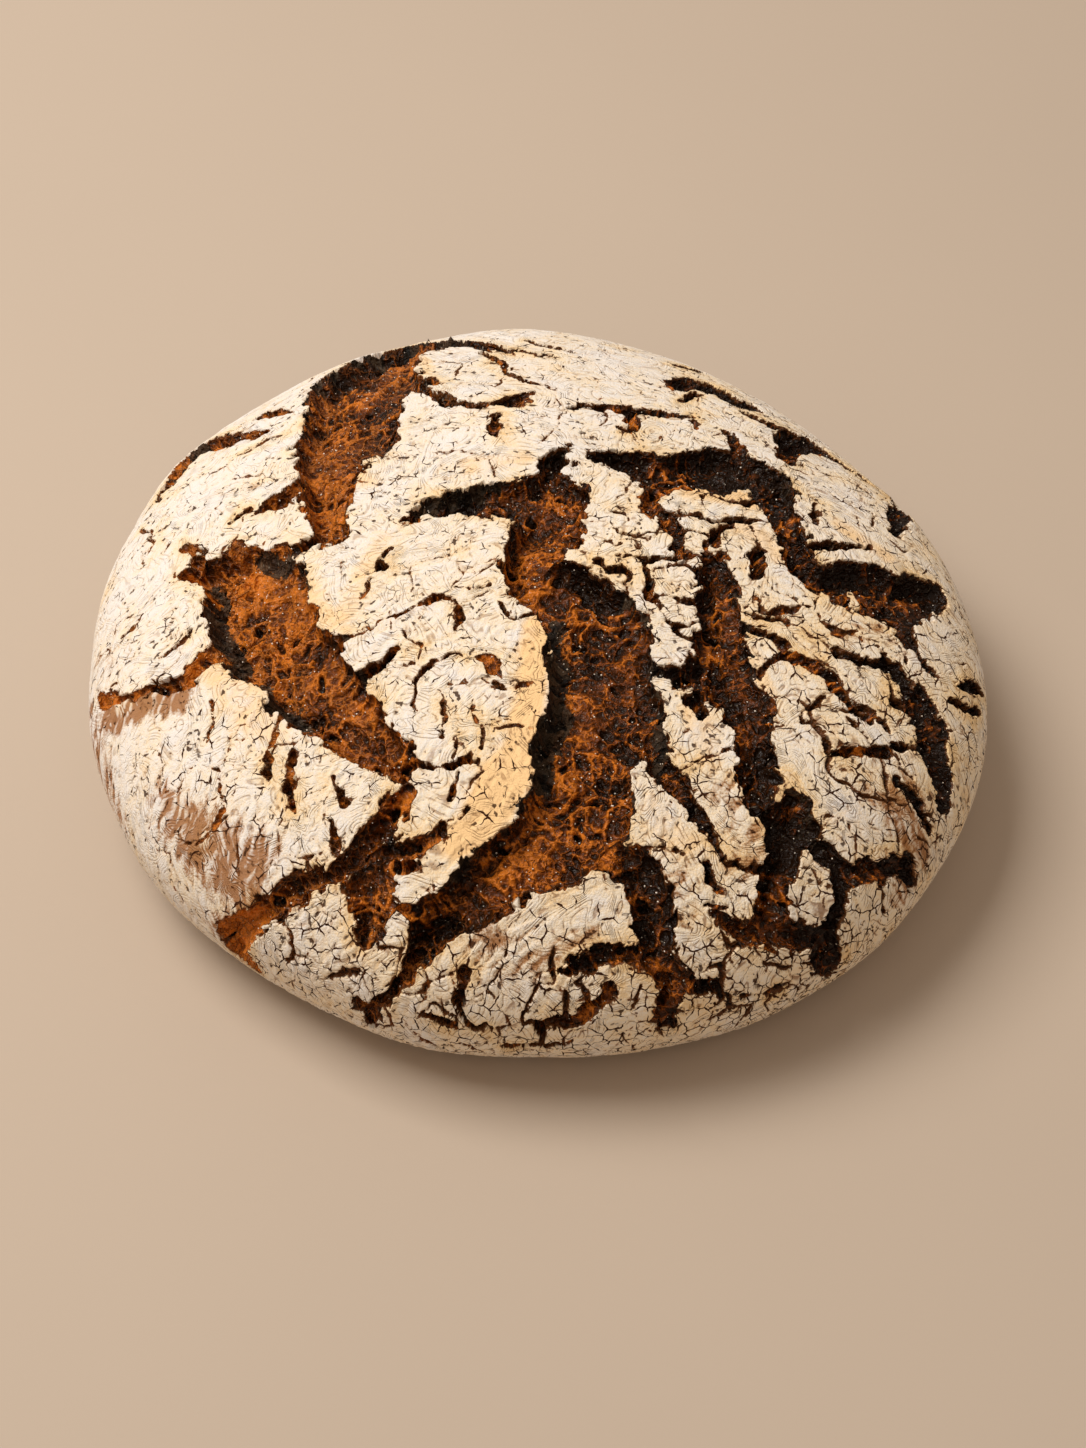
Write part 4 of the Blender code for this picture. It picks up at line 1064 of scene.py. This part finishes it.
def crumb_colour(add, at, colours):
    """Crumb: glossy strands 0.4 mm thick that curl round hollows of about 3.5 and 1.6 mm, with painted light
    on the strands and painted shade in the hollows and towards the right, burned black with painted shade at
    some edges, with the crust's broken edge about 0.7 mm thick over it and a little flour caught in it."""
    curled = add("TexNoise", {"Vector": at.place, "Scale": 1 / 3.2, "Detail": 2.0, "Roughness": 0.6},
                 out="Color")
    curled = add("VectorMath", {0: curled, 1: (0.5, 0.5, 0.5)}, operation="SUBTRACT")
    curled = add("VectorMath", {0: curled, 1: (5.0, 5.0, 5.0), 2: at.place}, operation="MULTIPLY_ADD")
    coarse = add("TexVoronoi", {"Vector": curled, "Scale": 1 / 3.6}, feature="DISTANCE_TO_EDGE")
    fine = add("TexVoronoi", {"Vector": curled, "Scale": 1 / 1.6}, feature="DISTANCE_TO_EDGE")
    coarse_line = add("MapRange", {"Value": coarse, 1: 0.02, 2: 0.10, 3: 1.0, 4: 0.0})
    fine_line = add("MapRange", {"Value": fine, 1: 0.02, 2: 0.16, 3: 1.0, 4: 0.0})
    strands = add("Math", {0: fine_line, 1: 0.32, 2: coarse_line}, operation="MULTIPLY_ADD")
    shown = add("MapRange", {"Value": at.frosted, 1: 0.35, 2: 0.6, 3: 0.35, 4: 1.0})
    at.strands = add("Math", {0: strands, 1: shown}, operation="MULTIPLY")
    # Painted shade: darker and lower towards the middle of each coarse cell.
    at.sunk = add("MapRange", {"Value": coarse, 1: 0.08, 2: 0.42, 3: 0.0, 4: -0.16})
    at.mottle = add("MapRange", {"Value": at.mottle, 1: 0.3, 2: 0.7, 3: -0.13, 4: 0.13})
    # Painted shade: the crumb darkens towards the right, away from the light, and its frost thins there with
    # it.
    shade_lean = add("VectorMath", {0: at.place, 1: CRUMB_PAINTED_SHADE}, out="Value", operation="DOT_PRODUCT")
    # Painted light on the strands.
    tone_with_light_and_shade = add("Math", {0: at.strands, 1: 0.26, 2: at.crumb}, operation="MULTIPLY_ADD")
    for part in (at.mottle, at.sunk, shade_lean):
        tone_with_light_and_shade = add("Math", {0: tone_with_light_and_shade, 1: part}, operation="ADD")
    tone_with_light_and_shade = add("Math", {0: tone_with_light_and_shade, 1: 1.40, 2: -0.335}, operation="MULTIPLY_ADD")
    crumb = add("ValToRGB", {"Fac": tone_with_light_and_shade})
    set_ramp(crumb, [(0.0, colours.crumb_dark), (0.28, colours.crumb_brown), (0.58, colours.crumb_warm),
                     (1.0, colours.crumb_lit)])
    frost = add("Math", {0: shade_lean, 1: 2.2, 2: at.frosted}, operation="MULTIPLY_ADD")
    frost = add("Math", {0: at.strands, 1: frost}, operation="MULTIPLY")
    frost = add("MapRange", {"Value": frost, 1: 0.40, 2: 0.85, 3: 0.0, 4: 0.60})
    burnt_and_shaded = char_and_shade_colour(add, at, colours)
    rind = add("MapRange", {"Value": at.near, 1: -0.8, 2: -0.1, 3: 0.0, 4: 0.7})
    outside_char_and_shade = add("Math", {0: 1.0, 1: at.char}, operation="SUBTRACT")
    rind = add("Math", {0: rind, 1: outside_char_and_shade}, operation="MULTIPLY")
    dust = add("TexVoronoi", {"Vector": at.place, "Scale": 1 / 3.6}, feature="F1", voronoi_dimensions="2D")
    dust = add("MapRange", {"Value": dust, 1: 0.04, 2: 0.08, 3: 0.16, 4: 0.0})
    return layered(add, crumb, ((frost, rgba(colours.frost)), (at.char, burnt_and_shaded),
                                (rind, rgba(colours.cut_crust)), (dust, rgba(colours.flour_cream))))


def crust_relief(add, at):
    """Relief in millimetres: lines and a fine tooth in the flour, strands and mottling in the crumb."""
    skin, wet = 0.0, 0.0
    for part, share in ((at.flow, 0.12), (at.tooth, 0.34), (at.strokes, -0.25)):
        skin = add("Math", {0: part, 1: share, 2: skin}, operation="MULTIPLY_ADD")
    for part, share in ((at.strands, 0.30), (at.mottle, 0.8), (at.sunk, 4.0)):
        wet = add("Math", {0: part, 1: share, 2: wet}, operation="MULTIPLY_ADD")
    relief = add("Mix", {0: at.plate, 2: wet, 3: skin}, out=0, data_type="FLOAT")
    return add("Bump", {"Height": relief, "Distance": MM, "Strength": 1.0})


def floury_crust_material(colours):
    """Rye crust under basket flour, baked hard and burst open over moist torn crumb.

    The flour lies matt and cream-white with a faint grain left by the dough's skin, crazes show the brown
    crust under it, and the crumb is glossy, stranded and full of gas holes."""
    material, tree, shader = new_material("floury rye crust, hearth baked")
    add = partial(add_node, tree)
    at = SimpleNamespace(place=add("Attribute", out="Vector", attribute_name="place"))
    for name in CARRIED:
        setattr(at, name, add("Attribute", out="Fac", attribute_name=name))
    for name, (size, detail, roughness, ways) in CRUST_NOISES.items():
        setattr(at, name, add("TexNoise", {"Vector": at.place, "Scale": 1 / size, "Detail": detail,
                                           "Roughness": roughness}, noise_dimensions=ways))
    draw_torn_edges(add, at)
    draw_skin_lines(add, at)
    draw_fine_marks(add, at)
    flour = flour_colour(add, at, colours)
    crumb = crumb_colour(add, at, colours)
    colour = layered(add, crumb, ((at.plate, flour),))
    tree.links.new(colour, shader.inputs["Base Color"])
    gloss = add("Math", {0: at.char, 1: 0.25, 2: 0.34}, operation="MULTIPLY_ADD")
    gloss = add("Mix", {0: at.plate, 2: gloss, 3: 0.94}, out=0, data_type="FLOAT")
    tree.links.new(gloss, shader.inputs["Roughness"])
    shader.inputs["IOR"].default_value = 1.4
    shader.inputs["Specular IOR Level"].default_value = 0.25
    tree.links.new(crust_relief(add, at), shader.inputs["Normal"])
    return material


def place_in_millimetres(add):
    """The place on a piece, in millimetres."""
    place = add("TexCoord", out="Object")
    return add("VectorMath", {0: place, "Scale": 1 / MM}, operation="SCALE")


def sole_material(colours):
    """Crust baked flat on the oven's hearth: dull brown, browner in patches, with flour pressed into it."""
    material, tree, shader = new_material("sole crust, baked on the hearth")
    add = partial(add_node, tree)
    place = place_in_millimetres(add)
    patches = add("TexNoise", {"Vector": place, "Scale": 1 / 22, "Detail": 5.0, "Roughness": 0.6})
    browned = add("MapRange", {"Value": patches, 1: 0.35, 2: 0.65, 3: 0.0, 4: 0.8})
    grit = add("TexNoise", {"Vector": place, "Scale": 1 / 1.3, "Detail": 3.0, "Roughness": 0.7})
    dusted = add("Math", {0: patches, 1: 0.5, 2: grit}, operation="MULTIPLY_ADD")
    dusted = add("MapRange", {"Value": dusted, 1: 0.78, 2: 0.9, 3: 0.0, 4: 0.85})
    colour = layered(add, rgba(colours.sole_crust), ((browned, rgba(colours.cut_crust)),
                                                     (dusted, rgba(colours.flour_cream))))
    tree.links.new(colour, shader.inputs["Base Color"])
    shader.inputs["Roughness"].default_value = 0.9
    bump = add("Bump", {"Height": grit, "Distance": 0.4 * MM})
    tree.links.new(bump, shader.inputs["Normal"])
    return material


def flour_grain_material(colours):
    """Coarse rye flour, milled: matt off-white grains, each a little lighter or darker."""
    material, tree, shader = new_material("rye flour, coarsely milled")
    add = partial(add_node, tree)
    shade = add("TexNoise", {"Vector": place_in_millimetres(add), "Scale": 1 / 3.0, "Detail": 1.0})
    colour = layered(add, rgba(colours.flour_white), ((shade, rgba(colours.flour_cream)),))
    tree.links.new(colour, shader.inputs["Base Color"])
    shader.inputs["Roughness"].default_value = 0.95
    return material


def floor_material(studio):
    """Plain pale studio floor, painted matt, with a very slight unevenness so that it isn't flat."""
    material, tree, shader = new_material("studio floor, matt paint")
    add = partial(add_node, tree)
    cloud = add("TexNoise", {"Vector": add("TexCoord", out="Object"), "Scale": 5.0, "Detail": 3.0})
    lighter = tuple(min(1.0, share * 1.05) for share in studio.floor_colour)
    colour = layered(add, rgba(studio.floor_colour), ((cloud, rgba(lighter)),))
    tree.links.new(colour, shader.inputs["Base Color"])
    shader.inputs["Roughness"].default_value = 0.85
    return material


# The plan that has been worked out, by the sizes that it is for.
PLANS = {}
# How many cells across the whole crust its middle is measured with.
MIDDLE_CELLS = 800


def current_plan(sizes):
    """The crust's plan for these sizes, worked out once, with the middle of the loaf's outline."""
    key = tuple(sorted((name, getattr(sizes, name)) for name in sizes.__annotations__))
    if key not in PLANS:
        PLANS.clear()
        plan = PLANS[key] = crust_plan(sizes)
        line = np.linspace(-1, 1, MIDDLE_CELLS + 1)
        points = crust_points(*crust_places(*np.meshgrid(line, line), plan), plan).reshape(-1, 3)
        plan["middle"] = (points.max(axis=0) + points.min(axis=0)) / 2 * (1, 1, 0)
    return PLANS[key]


def finished_mesh(name, shape):
    """Turn a finished bmesh into a mesh."""
    mesh = bpy.data.meshes.new(name)
    shape.to_mesh(mesh)
    shape.free()
    return mesh


def unroll(sheet, square):
    """Lay a sheet's faces out on the unit square."""
    unrolled = sheet.loops.layers.uv.new("OFBake")
    for face in sheet.faces:
        for loop in face.loops:
            loop[unrolled].uv = square[loop.vert.index]


def put_in_scene(name, mesh, material, replaces=True):
    """Make a finished mesh a piece of the loaf."""
    old = bpy.data.objects.get(name)
    if old:
        bpy.data.objects.remove(old)
    piece = bpy.data.objects.new(name, mesh)
    mesh.materials.append(material)
    bpy.context.scene.collection.objects.link(piece)
    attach(piece, "root")
    if replaces:
        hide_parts("loaf")
    return piece


# The crust's pieces, three rows of three from the near left: names, and where each lies across and away.
CRUST_PIECES = {"crust_near_left": (0, 0), "crust_near": (1, 0), "crust_near_right": (2, 0),
                "crust_left": (0, 1), "crust_crown": (1, 1), "crust_right": (2, 1),
                "crust_far_left": (0, 2), "crust_far": (1, 2), "crust_far_right": (2, 2)}


def crust_piece(name, spot, cells, plan, material):
    """One piece of the crust, joined to its neighbours edge to edge."""
    sheet = bmesh.new()
    bmesh.ops.create_grid(sheet, x_segments=cells, y_segments=cells, size=0.5)
    square = np.array([vert.co[:2] for vert in sheet.verts]) + 0.5
    column, row = np.rint(square * cells).astype(int).T
    lines = [(np.arange(-1, cells + 2) + step * cells) * 2 / (3 * cells) - 1 for step in spot]
    u, v = crust_places(*np.meshgrid(*lines, indexing="ij"), plan)
    points = (crust_points(u, v, plan) - plan["middle"]) * MM
    along, over = points[2:, 1:-1] - points[:-2, 1:-1], points[1:-1, 2:] - points[1:-1, :-2]
    normals = np.cross(along, over)
    normals /= np.maximum(np.linalg.norm(normals, axis=-1, keepdims=True), 1e-12)
    for vert, point in zip(sheet.verts, points[column + 1, row + 1]):
        vert.co = point
    unroll(sheet, square)
    mesh = finished_mesh(name, sheet)
    mesh.shade_smooth()
    mesh.normals_split_custom_set_from_vertices(normals[column, row])
    u, v = u[column + 1, row + 1], v[column + 1, row + 1]
    place = mesh.attributes.new("place", "FLOAT_VECTOR", "POINT")
    place.data.foreach_set("vector", np.stack([u, v, read_plan(plan["height"], u, v)], axis=-1).ravel())
    for field in CARRIED:
        mesh.attributes.new(field, "FLOAT", "POINT").data.foreach_set("value", read_plan(plan[field], u, v))
    return put_in_scene(name, mesh, material)


class RYELOAF_OT_crust(bpy.types.Operator):
    """Lay the floury crust over the loaf, burst open over its crumb, in nine pieces"""

    bl_idname = "rye_loaf.crust"
    bl_label = "Floury Crust"

    def execute(self, context):
        sizes = context.scene.rye_loaf_sizes
        plan = current_plan(sizes)
        material = floury_crust_material(context.scene.rye_loaf_colours)
        for name, spot in CRUST_PIECES.items():
            crust_piece(name, spot, sizes.crust_cells, plan, material)
        return {"FINISHED"}


# The sole: how many cells it is across, how far it is hollowed inside its rim, and its bumps by their size.
SOLE_CELLS = 150
SOLE_HOLLOW = 0.9
SOLE_BUMPS = {19.0: 0.35, 6.0: 0.2, 2.4: 0.1}


class RYELOAF_OT_sole(bpy.types.Operator):
    """Close the loaf underneath with its flat baked sole"""

    bl_idname = "rye_loaf.sole"
    bl_label = "Sole"

    def execute(self, context):
        plan = current_plan(context.scene.rye_loaf_sizes)
        sheet = bmesh.new()
        bmesh.ops.create_grid(sheet, x_segments=SOLE_CELLS, y_segments=SOLE_CELLS, size=1.0)
        square = np.array([vert.co[:2] for vert in sheet.verts])
        x, y = disc_from_square(square[:, 0], square[:, 1])
        share, angle = np.hypot(x, y), np.arctan2(y, x)
        radius = outline_radius(angle) * SOLE_SHARE * share
        x, y = radius * np.cos(angle), radius * np.sin(angle)
        hollow = SOLE_HOLLOW + sum(height * bumps(x, y, size, 160 + turn)
                                   for turn, (size, height) in enumerate(SOLE_BUMPS.items()))
        points = np.stack([x, y, hollow * ease((1 - share) / 0.12)], axis=-1) - plan["middle"]
        for vert, point in zip(sheet.verts, points * MM):
            vert.co = point
        unroll(sheet, square / 2 + 0.5)
        bmesh.ops.reverse_faces(sheet, faces=sheet.faces)
        mesh = finished_mesh("sole", sheet)
        mesh.shade_smooth()
        put_in_scene("sole", mesh, sole_material(context.scene.rye_loaf_colours))
        return {"FINISHED"}


# Loose flour falls over a square of this half side, and stays this near the crown and this far inside a torn
# edge. So many places are tried for each grain that stays.
FLOUR_REACH = 170.0
FLOUR_RUN = 175.0
FLOUR_INSIDE = 0.6
TRIES_A_GRAIN = 60


class RYELOAF_OT_flour(bpy.types.Operator):
    """Scatter the loose flour grains that have fallen into the splits"""

    bl_idname = "rye_loaf.flour"
    bl_label = "Loose Flour"

    def execute(self, context):
        sizes = context.scene.rye_loaf_sizes
        plan = current_plan(sizes)
        chance = np.random.default_rng(170)
        u, v = chance.uniform(-FLOUR_REACH, FLOUR_REACH, (2, TRIES_A_GRAIN * sizes.grain_count))
        fallen = (read_plan(plan["edge"], u, v) < -FLOUR_INSIDE) & (np.hypot(u, v) < FLOUR_RUN)
        u, v = u[fallen][:sizes.grain_count], v[fallen][:sizes.grain_count]
        points = crust_points(u, v, plan) - plan["middle"]
        radii = sizes.grain_radius * (0.45 + 0.55 * chance.uniform(0, 1, len(u)) ** 2)
        grains = bmesh.new()
        for point, radius in zip(points, radii):
            squash = Matrix.Diagonal((*(radius * chance.uniform(0.8, 1.15, 3)), 1.0))
            bmesh.ops.create_icosphere(grains, subdivisions=1, radius=1.0,
                                       matrix=Matrix.Translation(Vector(point) * MM) @ squash)
        material = flour_grain_material(context.scene.rye_loaf_colours)
        put_in_scene("loose_flour", finished_mesh("loose_flour", grains), material, replaces=False)
        return {"FINISHED"}


# Where the camera stands, measured from the loaf's middle at the height given: how far, and how high it
# looks down. What it aims at is below and in front of that, as the picture is framed.
CAMERA_DISTANCE = 900.0
CAMERA_ELEVATION = 47.0
CAMERA_PIVOT = 40.0
CAMERA_AIM = (3.64, -17.7, 23.5)
SENSOR_HEIGHT = 36.0
# The soft light's place and the floor's reach, in metres.
KEY_PLACE = (-0.78, 0.26, 1.5)
KEY_COLOUR = "fffcf8"
FLOOR_REACH = 4.0


class RYELOAF_OT_studio(bpy.types.Operator):
    """Set out the plain floor, the soft light and the camera"""

    bl_idname = "rye_loaf.studio"
    bl_label = "Studio"

    def execute(self, context):
        studio = context.scene.rye_loaf_studio
        middle = Vector(current_plan(context.scene.rye_loaf_sizes)["middle"]) * MM
        ground = bmesh.new()
        bmesh.ops.create_circle(ground, cap_ends=True, segments=96, radius=FLOOR_REACH)
        mesh = finished_mesh("floor", ground)
        mesh.materials.append(floor_material(studio))
        floor = bpy.data.objects.new("floor", mesh)
        context.scene.collection.objects.link(floor)

        light = bpy.data.lights.new("soft key light", "AREA")
        light.energy = studio.key_power
        light.size = studio.key_size
        light.color = linear(KEY_COLOUR)
        key = bpy.data.objects.new("soft key light", light)
        key.location = KEY_PLACE
        key.rotation_euler = (-key.location).to_track_quat("-Z", "Y").to_euler()
        context.scene.collection.objects.link(key)

        world = bpy.data.worlds.new("studio fill")
        world.use_nodes = True
        fill = world.node_tree.nodes["Background"]
        fill.inputs["Color"].default_value = rgba(studio.sky_colour)
        fill.inputs["Strength"].default_value = studio.sky_strength
        context.scene.world = world
        context.scene.view_settings.view_transform = "Standard"

        lens = bpy.data.cameras.new("camera")
        lens.sensor_fit = "VERTICAL"
        lens.sensor_height = SENSOR_HEIGHT
        lens.lens = studio.lens
        lens.clip_start = 0.05
        camera = bpy.data.objects.new("camera", lens)
        down = np.radians(CAMERA_ELEVATION)
        way = Vector((0.0, -np.cos(down), np.sin(down)))
        camera.location = (way * CAMERA_DISTANCE + Vector((0.0, 0.0, CAMERA_PIVOT))) * MM - middle
        aim = Vector(CAMERA_AIM) * MM - middle
        camera.rotation_euler = (aim - camera.location).to_track_quat("-Z", "Y").to_euler()
        context.scene.collection.objects.link(camera)
        context.scene.camera = camera
        return {"FINISHED"}


OPERATORS = (RYELOAF_OT_crust, RYELOAF_OT_sole, RYELOAF_OT_flour, RYELOAF_OT_studio)


class RYELOAF_PT_panel(bpy.types.Panel):
    """The loaf's pieces and settings"""

    bl_idname = "RYELOAF_PT_panel"
    bl_label = "Round Rye Loaf"
    bl_space_type = "VIEW_3D"
    bl_region_type = "UI"
    bl_category = "Rye Loaf"

    def draw(self, context):
        for operator in OPERATORS:
            self.layout.operator(operator.bl_idname)
        for settings in (context.scene.rye_loaf_sizes, context.scene.rye_loaf_colours,
                         context.scene.rye_loaf_studio):
            box = self.layout.box()
            for name in settings.__annotations__:
                box.prop(settings, name)


CLASSES = (RyeLoafSizes, RyeLoafColours, RyeLoafStudio, *OPERATORS, RYELOAF_PT_panel)


def register():
    for item in CLASSES:
        bpy.utils.register_class(item)
    bpy.types.Scene.rye_loaf_sizes = bpy.props.PointerProperty(type=RyeLoafSizes)
    bpy.types.Scene.rye_loaf_colours = bpy.props.PointerProperty(type=RyeLoafColours)
    bpy.types.Scene.rye_loaf_studio = bpy.props.PointerProperty(type=RyeLoafStudio)


def unregister():
    del bpy.types.Scene.rye_loaf_studio
    del bpy.types.Scene.rye_loaf_colours
    del bpy.types.Scene.rye_loaf_sizes
    for item in reversed(CLASSES):
        bpy.utils.unregister_class(item)


def main():
    register()
    bpy.ops.rye_loaf.crust()
    bpy.ops.rye_loaf.sole()
    bpy.ops.rye_loaf.flour()
    bpy.ops.rye_loaf.studio()
    bpy.context.view_layer.update()


if __name__ == "__main__":
    main()
